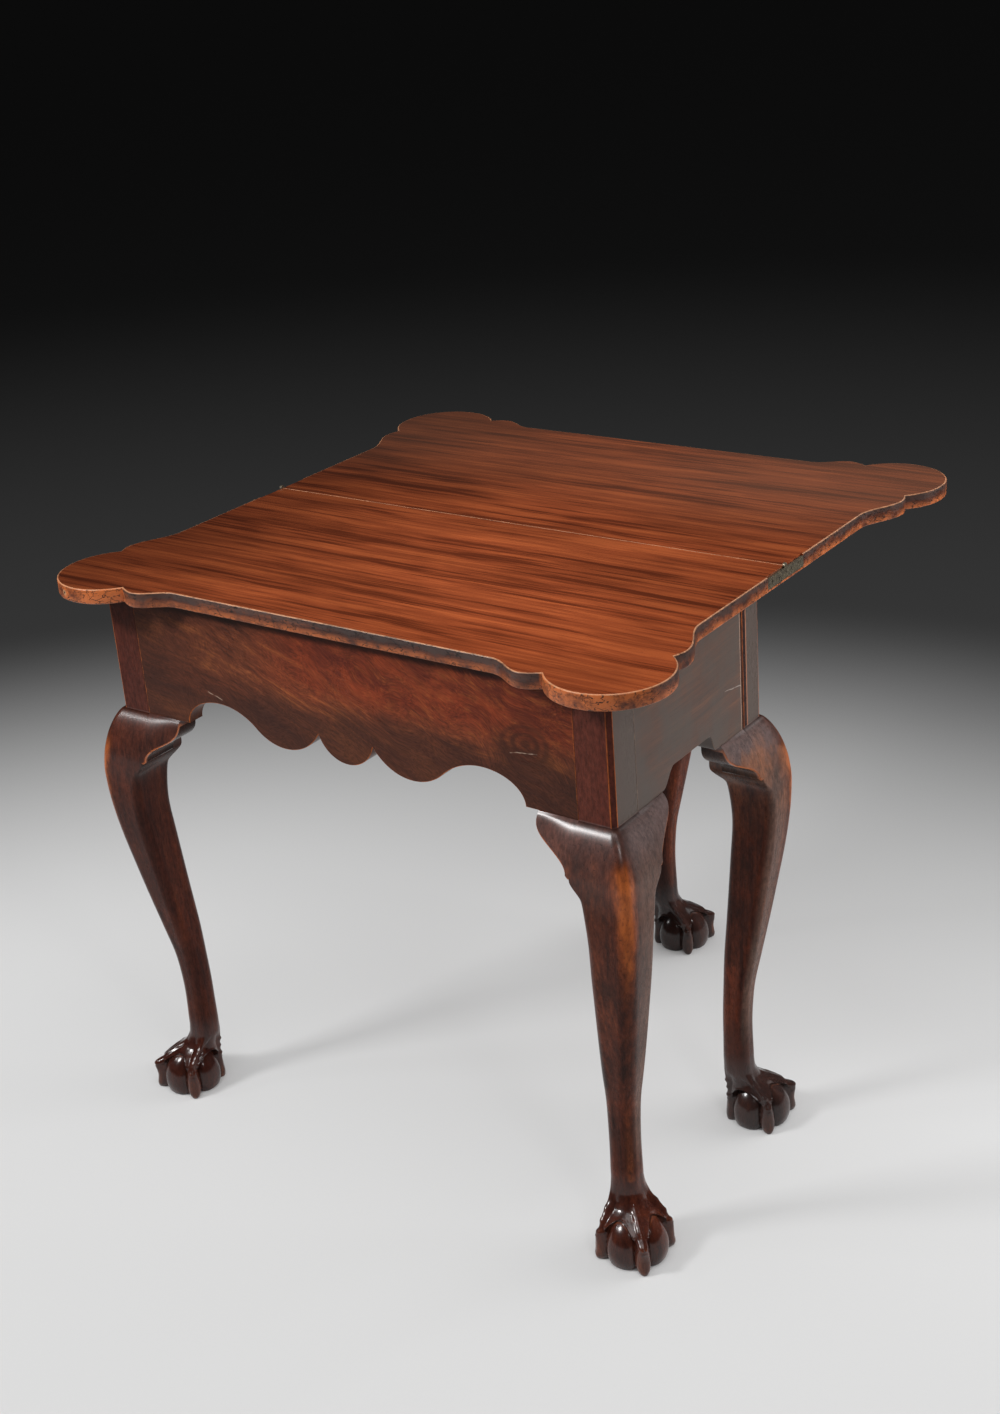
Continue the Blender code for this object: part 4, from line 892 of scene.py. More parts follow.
def metal_material(name, clean, tarnish, stain):
    """Old metal: tarnished all over, stained in specks and rubbed bright in a few places."""
    material, tree = new_material(name)
    vector = surface(tree)
    clouds = noise(tree, vector, 160.0, detail=5.0, roughness=0.7)
    specks = spread(tree, noise(tree, vector, 700.0, detail=3.0), 0.54, 0.64)
    base = mixed(tree, spread(tree, clouds, 0.35, 0.65), tarnish, clean)
    base = mixed(tree, times(tree, specks, 0.75), base, stain)
    rough = spread(tree, clouds, 0.3, 0.7, 0.55, 0.30)
    metallic = spread(tree, specks, 0.0, 1.0, 0.60, 0.15)
    height = total(tree, (clouds, 1.0), (specks, -0.6))
    finish_shader(tree, base, rough, height, 0.35, 0.0006, metallic=metallic)
    return material


# Settings


def length_setting(name, description, default):
    return FloatProperty(name=name, description=description, default=default, unit="LENGTH")


def angle_setting(name, description, degrees):
    return FloatProperty(name=name, description=description, default=math.radians(degrees), subtype="ANGLE")


def share_setting(name, description, default):
    return FloatProperty(name=name, description=description, default=default, subtype="FACTOR")


def power_setting(name, description, default):
    return FloatProperty(name=name, description=description, default=default, unit="POWER")


def colour_setting(name, description, *default):
    return FloatVectorProperty(name=name, description=description, default=default, subtype="COLOR")


class TopSettings(bpy.types.PropertyGroup):
    """Sizes of the shaped top."""
    arris: length_setting("Arris", "Rounding of the top's edges", 0.0017)
    joint_arris: length_setting("Joint arris", "Rounding where the two leaves meet", 0.0004)
    lobe_radius: length_setting("Lobe radius", "Radius of the round corner lobes", 0.0675)
    side_inset: length_setting("Side inset", "From the lobes in to the straight sides", 0.043)
    side_swell: length_setting("Side swell", "Height of the bump beside a lobe on a side", 0.0235)
    side_swell_at: length_setting("Side swell place", "From a lobe's middle to the side bump", 0.0705)
    side_ogee: length_setting("Side ogee", "Run of the curve up to the side bump", 0.067)
    front_inset: length_setting("Front inset", "From the lobes in to the straight front", 0.037)
    front_swell: length_setting("Front swell", "Height of the bump beside a lobe on the front", 0.0195)
    front_swell_at: length_setting("Front swell place", "From a lobe's middle to the front bump", 0.0765)
    front_ogee: length_setting("Front ogee", "Run of the curve up to the front bump", 0.047)
    side_notch: angle_setting("Side notch", "Angle at which a lobe starts", -50.4)
    front_notch: angle_setting("Front notch", "Angle at which a lobe ends", 142.2)


class ApronSettings(bpy.types.PropertyGroup):
    """Sizes of the scalloped apron and of the side rails."""
    middle_radius: length_setting("Middle scallop", "Radius of the middle scallop", 0.040)
    lobe_at: length_setting("Scallop place", "From the middle to the large scallops", 0.091)
    lobe_radius: length_setting("Scallop radius", "Radius of the large scallops", 0.061)
    drop: length_setting("Drop", "How far the scallops hang below the plain ends", 0.003)
    arch_at: length_setting("Arch place", "From the middle to the top of an arch", 0.186)
    arch_rise: length_setting("Arch rise", "Height of the arches", 0.0345)
    arch_end: length_setting("Arch end", "From the middle to the end of an arch", 0.240)
    side_rise: length_setting("Side rise", "How far the side rails' lower edge rises", 0.021)
    side_run: length_setting("Side run", "Length of that rise", 0.024)
    rear_run: length_setting("Rear run", "Length of its fall at the rear", 0.014)
    front_landing: length_setting("Front landing", "Plain stretch at the front of a side rail", 0.052)
    rear_landing: length_setting("Rear landing", "Plain stretch at the rear of a side rail", 0.059)
    arris: length_setting("Arris", "Rounding of the lower edges", 0.0011)


class LegSettings(bpy.types.PropertyGroup):
    """Sizes of the cabriole legs, their brackets and feet."""
    foot_height: length_setting("Foot height", "From the floor to the ankle", 0.088)
    foot_set_in: length_setting("Foot set-in", "Foot's middle, in from the stile's faces", 0.009)
    ankle_width: length_setting("Ankle width", "Width of the ankle", 0.0352)
    ankle_set_in: length_setting("Ankle set-in", "Ankle's middle, in from the stile's faces", 0.0259)
    ball_radius: length_setting("Ball radius", "Radius of the ball", 0.0402)
    ball_height: length_setting("Ball height", "Height of the ball's middle", 0.018)
    panel_bulge: length_setting("Panel bulge", "How far the ball sinks towards the talons", 0.0070)
    knuckle: length_setting("Knuckle", "How far a knuckle stands out", 0.0013)
    knee_out: length_setting("Knee", "How far the knee stands out at its foot", 0.0255)
    throat_drop: length_setting("Throat drop", "From the brackets' foot to the throat", 0.022)
    throat_out: length_setting("Throat", "How far the leg stands out at the throat", 0.0275)
    throat_thickness: length_setting("Throat thickness", "Thickness at the throat", 0.0595)
    bracket_drop: length_setting("Bracket drop", "Height of a knee bracket", 0.058)
    bracket_length: length_setting("Bracket length", "Length of a knee bracket", 0.050)
    bracket_depth: length_setting("Bracket depth", "Depth of a knee bracket behind the face", 0.025)
    bracket_tip: length_setting("Bracket tip", "Height of a bracket's tip", 0.008)
    bracket_shoulder: length_setting("Bracket shoulder", "Drop at which the S-curve turns", 0.034)
    tip_share: share_setting("Tip swell", "Share of the knee's swell left at a bracket's tip", 0.60)


class FinishSettings(bpy.types.PropertyGroup):
    """Colours of the finishes."""
    top_dark: colour_setting("Top dark", "Dark streaks of the top", 0.105, 0.0205, 0.007)
    top_middle: colour_setting("Top", "Main colour of the top", 0.250, 0.053, 0.017)
    top_light: colour_setting("Top light", "Bright streaks of the top", 0.37, 0.086, 0.026)
    rail_dark: colour_setting("Rail dark", "Dark figure of apron and rails", 0.050, 0.016, 0.010)
    rail_middle: colour_setting("Rail", "Main colour of apron and rails", 0.140, 0.038, 0.017)
    rail_light: colour_setting("Rail light", "Bright figure of apron and rails", 0.30, 0.088, 0.028)
    leg_dark: colour_setting("Leg dark", "Dark streaks of the legs", 0.026, 0.0075, 0.005)
    leg_middle: colour_setting("Leg", "Main colour of the legs", 0.074, 0.0185, 0.0095)
    leg_light: colour_setting("Leg light", "Bright streaks of the legs", 0.140, 0.036, 0.015)
    leg_worn: colour_setting("Leg worn", "Where the legs are rubbed bare", 0.52, 0.136, 0.031)
    # Pale upper arris of the top's edge: partly wear, partly a painted highlight
    arris_worn: colour_setting("Arris worn", "Rubbed edge of the top", 0.52, 0.24, 0.12)
    dry_dark: colour_setting("Dry wood dark", "Dark grain of the hidden wood", 0.13, 0.062, 0.026)
    dry_middle: colour_setting("Dry wood", "Main colour of the hidden wood", 0.30, 0.165, 0.075)
    dry_light: colour_setting("Dry wood light", "Light grain of the hidden wood", 0.43, 0.26, 0.125)


CAMERA_DEGREES = (66.106, 3.962, 34.604)


class StageSettings(bpy.types.PropertyGroup):
    """Camera, lights and floor."""
    eye: FloatVectorProperty(name="Eye", description="Where the camera stands", subtype="TRANSLATION",
                             unit="LENGTH", default=(1.29894, -1.78957, 1.45156))
    turn: FloatVectorProperty(name="Turn", description="How the camera is turned", subtype="EULER",
                              unit="ROTATION", default=[math.radians(angle) for angle in CAMERA_DEGREES])
    lens: FloatProperty(name="Lens", description="Focal length in millimetres", default=48.99)
    shift: FloatVectorProperty(name="Shift", description="Camera shift across and up", size=2,
                               default=(-0.00953, -0.00069))
    key_power: power_setting("Key light", "Power of the key light", 85.0)
    top_power: power_setting("Top light", "Power of the overhead light", 27.0)
    side_power: power_setting("Side light", "Power of the light at the right", 34.0)
    rear_power: power_setting("Rear light", "Power of the light behind", 9.0)
    ridge_power: power_setting("Ridge light", "Power of the small light on the front right ridge", 8.0)
    knee_power: power_setting("Knee light", "Power of the small light on the front left knee", 9.0)
    floor_glow: share_setting("Floor glow", "Share of the floor's tone that is its own light", 0.6)
    floor_tone: share_setting("Floor", "Grey of the floor", 0.68)
    far_tone: share_setting("Far floor", "Grey of the floor far off", 0.03)


def three_tones(finish, wood):
    """The dark, middle and light colours of a wood."""
    return [getattr(finish, f"{wood}_{tone}") for tone in ("dark", "middle", "light")]


# Top


TOP_FINISH, EDGE_FINISH, UNDER_FINISH = range(3)   # order of the materials on a half of the top
LEVEL_FACE = 0.999                                 # upward share of the normal of a face that counts as level
LOBE_STEPS = 90
SWELL_STEPS = 24


def swelled_edge(straight, peak, run, notch, steps):
    """From a straight edge out to a bump and in to a notch, as (along, out) points."""
    points = []
    for i in range(steps):
        rise = (1 - math.cos(math.pi * i / steps)) / 2
        points.append((peak[0] - run * (1 - i / steps), straight + (peak[1] - straight) * rise))
    for i in range(steps + 1):
        share = i / steps
        drop = 1 - math.cos(math.pi / 2 * share)
        points.append((peak[0] + (notch[0] - peak[0]) * share, peak[1] + (notch[1] - peak[1]) * drop))
    return points


def half_leaf_outline(sizes):
    """Right half of a leaf, from the joint line round to the middle of its long edge."""
    side_x = HALF_TOP - sizes.side_inset
    centre = (HALF_TOP - sizes.lobe_radius, LEAF_DEPTH - sizes.lobe_radius)
    lobe = arc(centre, sizes.lobe_radius, sizes.side_notch, sizes.front_notch, LOBE_STEPS)
    side_peak = (centre[1] - sizes.side_swell_at, side_x + sizes.side_swell)
    side = swelled_edge(side_x, side_peak, sizes.side_ogee, (lobe[0][1], lobe[0][0]), SWELL_STEPS)
    front_y = LEAF_DEPTH - sizes.front_inset
    front_peak = (centre[0] - sizes.front_swell_at, front_y + sizes.front_swell)
    front = swelled_edge(front_y, front_peak, sizes.front_ogee, lobe[-1], SWELL_STEPS)
    outline = [(side_x, HALF_JOINT)]
    outline += [(out, along) for along, out in side]
    outline += lobe[1:-1]
    outline += list(reversed(front))
    return outline


def leaf_shape(sizes, sign_y):
    """One half of the top, its arrises rounded, its edge and underside marked for their own finishes."""
    right = half_leaf_outline(sizes)
    left = [(-x, y) for x, y in reversed(right)]
    shape = plate(right + left, lambda x, y: (x, sign_y * y, UNDERSIDE), (0, 0, TABLE_HEIGHT - UNDERSIDE))
    level = [edge for edge in shape.edges if abs(edge.verts[0].co.z - edge.verts[1].co.z) < FIT]
    rims = [edge for edge in level if max(abs(vert.co.y) for vert in edge.verts) > HALF_JOINT + FIT]
    round_edges(shape, rims, sizes.arris, 4)
    joints = [edge for edge in shape.edges if all(abs(vert.co.y) < HALF_JOINT + FIT for vert in edge.verts)
              and min(vert.co.z for vert in edge.verts) > TABLE_HEIGHT - FIT]
    round_edges(shape, joints, sizes.joint_arris, 2)
    for face in shape.faces:
        face.material_index = EDGE_FINISH
        if abs(face.normal.z) > LEVEL_FACE:
            face.material_index = TOP_FINISH if face.normal.z > 0 else UNDER_FINISH
    return shape


class TEATABLE_OT_top(bpy.types.Operator):
    """Builds the two halves of the shaped top, let in for the hinges"""
    bl_idname = "teatable.top"
    bl_label = "Top"

    def execute(self, context):
        sizes, finish = context.scene.teatable_top, context.scene.teatable_finish
        polished = wood_material("top_polish", three_tones(finish, "top"), band=0.011, waviness=0.011,
                                 figure=0.15, contrast=1.8, gloss=0.20, coat=0.35, specular=0.35,
                                 worn=finish.arris_worn, bump=0.06, tint=top_tones)
        under_colours = (finish.dry_dark, finish.rail_middle, finish.top_middle)
        under = dry_wood_material("top_underside", under_colours)
        edge = top_edge_material(finish, sizes.lobe_radius)
        halves = (("fixed_top", "fixed", -1, "frame", under), ("folding_leaf", "leaf", 1, "leaf", polished))
        clear = Vector((FIT, FIT, FIT))
        for name, half, sign_y, body, below in halves:
            recesses = []
            for side, sign in (("left", -1), ("right", 1)):
                low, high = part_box(f"{side}_hinge_{half}_plate")
                recess = block(low - clear, high + clear)
                outer = [vert for vert in recess.verts if sign * vert.co.x > sign * (low.x + high.x) / 2]
                bmesh.ops.translate(recess, vec=(sign * sizes.arris, 0.0, 0.0), verts=outer)
                for face in recess.faces:
                    face.material_index = UNDER_FINISH
                recesses.append(recess)
            shape = cut_out(leaf_shape(sizes, sign_y), recesses)
            add_piece(f"{name}_polished", shape, (polished, edge, below), body, "polished_top", name)
        return {"FINISHED"}


# Rails


APRON_GRAIN_TURN = math.radians(-14)
RIGHT_ANGLE = math.radians(90)
OGEE_STEPS = 16
APRON_ARC_STEPS = 20
ARCH_END_STEPS = 24


def circles_cross(first, first_radius, second, second_radius):
    """The lower of the two points where two circles cross."""
    gap = Vector(second) - Vector(first)
    along = (gap.length_squared + first_radius ** 2 - second_radius ** 2) / (2 * gap.length)
    across = math.sqrt(first_radius ** 2 - along ** 2)
    way = gap.normalized()
    return Vector(first) + way * along + Vector((way.y, -way.x)) * across


def angle_from(centre, point):
    """The angle at which a point lies from a centre."""
    return math.atan2(point[1] - centre[1], point[0] - centre[0])


def half_apron_edge(sizes):
    """Lower edge of the apron's right half, from the middle outwards, with heights from its plain end."""
    middle = (0.0, sizes.middle_radius - sizes.drop)
    lobe = (sizes.lobe_at, sizes.lobe_radius - sizes.drop)
    rise = lobe[1] - sizes.arch_rise
    reach = sizes.arch_at - sizes.lobe_at
    arch_radius = (reach ** 2 + rise ** 2 - sizes.lobe_radius ** 2) / (2 * (sizes.lobe_radius - rise))
    arch = (sizes.arch_at, sizes.arch_rise - arch_radius)
    cusp = circles_cross(middle, sizes.middle_radius, lobe, sizes.lobe_radius)
    meet = Vector(lobe).lerp(Vector(arch), sizes.lobe_radius / (sizes.lobe_radius + arch_radius))
    lobe_start = angle_from(lobe, cusp)
    if lobe_start > 0:
        lobe_start -= 2 * math.pi
    points = arc(middle, sizes.middle_radius, -math.pi / 2, angle_from(middle, cusp), APRON_ARC_STEPS)
    points += arc(lobe, sizes.lobe_radius, lobe_start, angle_from(lobe, meet), 2 * APRON_ARC_STEPS)[1:]
    points += arc(arch, arch_radius, angle_from(arch, meet), math.pi / 2, APRON_ARC_STEPS)[1:]
    run = sizes.arch_end - sizes.arch_at
    for i in range(1, ARCH_END_STEPS + 1):
        share = math.pi / 2 * i / ARCH_END_STEPS
        points.append((sizes.arch_at + run * math.sin(share), sizes.arch_rise * math.cos(share)))
    return points


def inward_normals(outline):
    """For each point of an outline that runs anticlockwise, the way in, longer at corners."""
    along = np.roll(outline, -1, axis=0) - outline
    along = along / np.linalg.norm(along, axis=1, keepdims=True)
    across = np.stack([-along[:, 1], along[:, 0]], axis=-1)
    both = across + np.roll(across, 1, axis=0)
    return both * np.minimum(2 / np.maximum((both ** 2).sum(axis=1), 1e-6), 1.2)[:, None]


def rail_shape(edge, height, thickness, radius, place, wear):
    """A rail from its lower edge, (along, height) points from end to end, with that edge rounded."""
    outline = np.array([*edge, (edge[-1][0], height), (edge[0][0], height)])
    inward = inward_normals(outline)
    inward[[0, len(edge) - 1, -2, -1]] = 0.0
    turns = np.linspace(0.0, math.pi / 2, 5)
    depths = np.concatenate([radius * (1 - np.cos(turns)), [radius * 1.3, thickness]])
    insets = np.concatenate([radius * (1 - np.sin(turns)), [0.0, 0.0]])
    amounts = np.concatenate([[0.0], np.full(len(turns) - 1, wear), [0.0, 0.0]])
    points = np.array([[place(along, up, depth) for along, up in outline + inset * inward]
                       for depth, inset in zip(depths, insets)])
    shape, turn, level = tube(len(outline), len(depths), lambda turn, level: points[level, turn])
    below_top = np.array([vert.co.z < RAIL_TOP - FIT for vert in shape.verts])
    mark(shape, wear=amounts[level] * below_top)
    return shape


class TEATABLE_OT_apron(bpy.types.Operator):
    """Builds the scalloped front apron with its figured face"""
    bl_idname = "teatable.apron"
    bl_label = "Front apron"

    def execute(self, context):
        sizes, finish = context.scene.teatable_apron, context.scene.teatable_finish
        right = half_apron_edge(sizes) + [(STILE_INNER_X - FIT, 0.0)]
        left = [(-x, z) for x, z in reversed(right)]
        shape = rail_shape(left + right[1:], RAIL_TOP - RAIL_BOTTOM, APRON_THICKNESS, sizes.arris,
                           lambda x, z, depth: (x, FRAME_FRONT + depth, RAIL_BOTTOM + z), 0.75)
        material = wood_material("figured_apron", three_tones(finish, "rail"),
                                 turn=(0.0, APRON_GRAIN_TURN, 0.0), band=0.020, waviness=0.08, figure=0.45,
                                 gloss=0.30, specular=0.11, worn=finish.leg_worn, tint=apron_figure,
                                 rubbed=apron_ends)
        add_piece("front_apron_figured", shape, (material,), "frame", "frame_wood", "front_apron")
        return {"FINISHED"}


class TEATABLE_OT_side_rails(bpy.types.Operator):
    """Builds the two side rails with their raised lower edges"""
    bl_idname = "teatable.side_rails"
    bl_label = "Side rails"

    def execute(self, context):
        sizes, finish = context.scene.teatable_apron, context.scene.teatable_finish
        material = wood_material("side_rail_wood", three_tones(finish, "rail"), turn=(0.0, 0.0, RIGHT_ANGLE),
                                 band=0.016, waviness=0.02, figure=0.2, gloss=0.36, worn=SIDE_WORN,
                                 tint=side_bloom, rubbed=side_ends)
        start = SIDE_RAIL_FRONT + FIT
        rise_start = SIDE_RAIL_FRONT + sizes.front_landing
        rise_end = SIDE_RAIL_REAR - sizes.rear_landing
        shares = [i / OGEE_STEPS for i in range(OGEE_STEPS + 1)]
        ogee = [(share, sizes.side_rise * (1 - math.cos(math.pi * share)) / 2) for share in shares]
        edge = [(start, 0.0)]
        edge += [(rise_start + sizes.side_run * share, rise) for share, rise in ogee]
        edge += [(rise_end - sizes.rear_run * share, rise) for share, rise in reversed(ogee)]
        edge += [(SIDE_RAIL_REAR, 0.0)]
        for side, word in ((-1, "left"), (1, "right")):
            shape = rail_shape(edge, RAIL_TOP - RAIL_BOTTOM, SIDE_RAIL_THICKNESS, sizes.arris,
                               lambda y, z, depth: (side * (HALF_FRAME - depth), y, RAIL_BOTTOM + z), 0.5)
            node = f"{word}_side_rail"
            add_piece(f"{node}_polished", shape, (material,), "frame", "frame_wood", node)
        return {"FINISHED"}


# Legs


LEG_SIDES = 320
KNEE_LEVELS, SHAFT_LEVELS = 46, 92           # sections down to the throat, and on to the ankle
ANKLE_LEVELS, TALON_LEVELS, SOLE_LEVELS = 22, 62, 32
FIRST_DROP = 0.0003                          # of the first section below the stile
LAST_HEIGHT = 0.001                          # of the last section above the floor


def leg_rows(sizes):
    """Stations of the leg by drop below the stile: outward swell, thickness, ridge, arris."""
    length = RAIL_BOTTOM - sizes.foot_height
    rows = [(0.0, 0.0, STILE, STILE_CANT, KNEE_ARRIS)]
    rows += [(drop, out, STILE + out, ridge, KNEE_ARRIS) for drop, out, ridge in KNEE_CURVE]
    rows += [(sizes.bracket_drop, sizes.knee_out, STILE + sizes.knee_out, KNEE_RIDGE, KNEE_ARRIS)]
    rows += [(sizes.bracket_drop + sizes.throat_drop, sizes.throat_out, sizes.throat_thickness,
              KNEE_RIDGE, THROAT_ARRIS)]
    rows += [(share * length, out, thick, ridge, arris) for share, out, thick, ridge, arris in LEG_CURVE]
    ankle = sizes.ankle_width / 2
    rows += [(length, ankle - sizes.ankle_set_in, sizes.ankle_width, ankle * ANKLE_RIDGE,
              ankle * ANKLE_ARRIS)]
    return rows


def leg_stations(sizes, drops):
    """Faired stations of the leg at many drops."""
    rows = leg_rows(sizes)
    window = np.clip((drops - sizes.bracket_drop - FAIRING_START) * 0.5, 0.0, FAIRING_REACH)
    return sum(through(rows, drops + share * window) for share in (-1.0, -0.5, 0.0, 0.5, 1.0)) / 5


def knee_swell(sizes, drops):
    """How far the leg stands out beyond its stile at some drops."""
    return leg_stations(sizes, np.asarray(drops, float))[0]


def nearest_corner(turns):
    """Which of the four corners a direction is nearest to, and the angle from it."""
    corner = np.rint(turns / (math.pi / 2)).astype(int) % 4
    angle = (turns - corner * math.pi / 2 + math.pi) % (2 * math.pi) - math.pi
    return corner, angle


def square_reach(angle, half, corner):
    """From the middle of a square with round corners out to its edge, at an angle from a corner."""
    angle = np.abs(angle)
    flat = half / np.cos(math.pi / 4 - angle)
    tangent = math.pi / 4 - np.arctan2(half - corner, half)
    centre = math.sqrt(2) * (half - corner)
    inside = np.maximum(corner ** 2 - (centre * np.sin(angle)) ** 2, 0.0)
    return np.where(angle >= tangent, flat, centre * np.cos(angle) + np.sqrt(inside))


def cant_reach(angle, half, cant):
    """From the middle of a square with canted corners out to its edge, at an angle from a corner."""
    flat = half / np.cos(math.pi / 4 - np.abs(angle))
    return np.minimum(flat, (2 * half - cant) / math.sqrt(2) / np.cos(angle))


def foot_field(sizes, turns, heights):
    """Reach of the foot from its shifted middle, with its wear and its grime with painted shade in the
    creases, over turns and heights.

    The ball, the skin that hangs over it and the four talons are each a reach, and the largest shows.
    """
    turn, height = np.meshgrid(turns, heights)
    shift = through(FOOT_SHIFT, height)[0]
    corner, angle = nearest_corner(turn)
    outer = through(OUTER_TALON, height)[0] - shift
    side, rear = through(SIDE_TALON, height)[0], through(REAR_TALON, height)[0]
    crest = np.choose(corner, [outer, side, rear, side])
    for knuckle in KNUCKLES:
        crest = crest + sizes.knuckle * np.exp(-((height - knuckle) / KNUCKLE_SPREAD) ** 2)
    width, flatness = through(TALON_WIDTH, height)
    off = crest * np.sin(np.abs(angle))
    talon = crest - TALON_ROUNDING * (off / width) ** flatness
    talon = np.where(np.abs(angle) > TALON_LIMIT, 0.0, np.maximum(talon, 0.0))

    from_panel = math.pi / 4 - np.abs(angle)
    aside = np.abs(from_panel) / PANEL_HALF
    ball_level = np.sqrt(np.maximum(sizes.ball_radius ** 2 - (height - sizes.ball_height) ** 2, 0.0))
    under = np.maximum(ball_level ** 2 - (shift * np.sin(turn)) ** 2, 0.0)
    ball = np.where(under > 0, -shift * np.cos(turn) + np.sqrt(under), 0.0)
    ball = ball - sizes.panel_bulge * np.minimum(aside, 1.2) ** 3

    front, back = through(SKIN_HOLLOW, height)
    hollow = front + (back - front) * ease((1 - np.cos(turn)) / 2)
    spread_angle = np.radians(through(TALON_SPREAD, height)[0])
    fold = np.maximum(0.0, 1 - (angle / spread_angle) ** 2) ** 2
    skin = hollow + np.maximum(crest - hollow, 0.0) * fold
    edge = ARCH_FOOT + (ARCH_TOP - ARCH_FOOT) * np.sqrt(np.maximum(1 - aside ** 2, 0.0))
    above = height - edge
    skin = np.maximum(skin, ball + SKIN_THICKNESS * (above > 0))
    skin = skin + SKIN_LIP * np.exp(-((above - SKIN_LIP_WIDTH) / SKIN_LIP_WIDTH) ** 2)
    skin = skin - SKIN_UNDERCUT * ease(-above / SKIN_TURN)

    fillet = TALON_FILLET + UPPER_FILLET * ease((height - 0.046) / 0.016)
    reach = softened_max(softened_max(skin, ball, BALL_FILLET), talon, fillet)
    talon_shows = ease((talon - np.maximum(skin, ball)) / 0.0012)
    ball_shows = ease((ball - np.maximum(skin, talon)) / 0.0004)
    nail = talon_shows * ease((NAIL_TOP - height) / 0.010) * ease((1.0 - off / width) / 0.40) * NAIL_WEAR
    knuckle_wear = 0.0
    for knuckle in KNUCKLES:
        knuckle_wear = knuckle_wear + np.exp(-((height - knuckle) / KNUCKLE_WEAR_SPREAD) ** 2)
    knuckle_wear = knuckle_wear * talon_shows * np.exp(-(off / 0.0036) ** 2) * KNUCKLE_WEAR
    outline = np.exp(-((above + 0.0015) / 0.0009) ** 2)
    outline = np.maximum(outline, np.exp(-((aside - 0.90) / 0.050) ** 2) * (height < ARCH_FOOT + 0.004))
    # Grime and painted shade in the creases at the skin's edge and beside the talons
    crease = np.exp(-((above - 0.0002) / 0.0007) ** 2) * (aside < 1.0)
    beside = np.exp(-((talon - ball + 0.0004) / 0.0010) ** 2) * ease((0.036 - height) / 0.008)
    crease = np.maximum(crease, beside * (off > 0.55 * width))
    wear = np.clip(np.maximum(nail, knuckle_wear) + BALL_WEAR * outline * ball_shows, 0.0, 1.0)
    return shift, reach, wear, np.clip(crease, 0.0, 1.0)


def cant_wear(here, angle, cant):
    """Wear along the two arrises of a canted corner of a stile."""
    arris = math.pi / 4 - math.atan2(STILE / 2 - cant, STILE / 2)
    return np.where(here, np.exp(-((np.abs(angle) - arris) / CANT_WEAR_SPREAD) ** 2), 0.0)


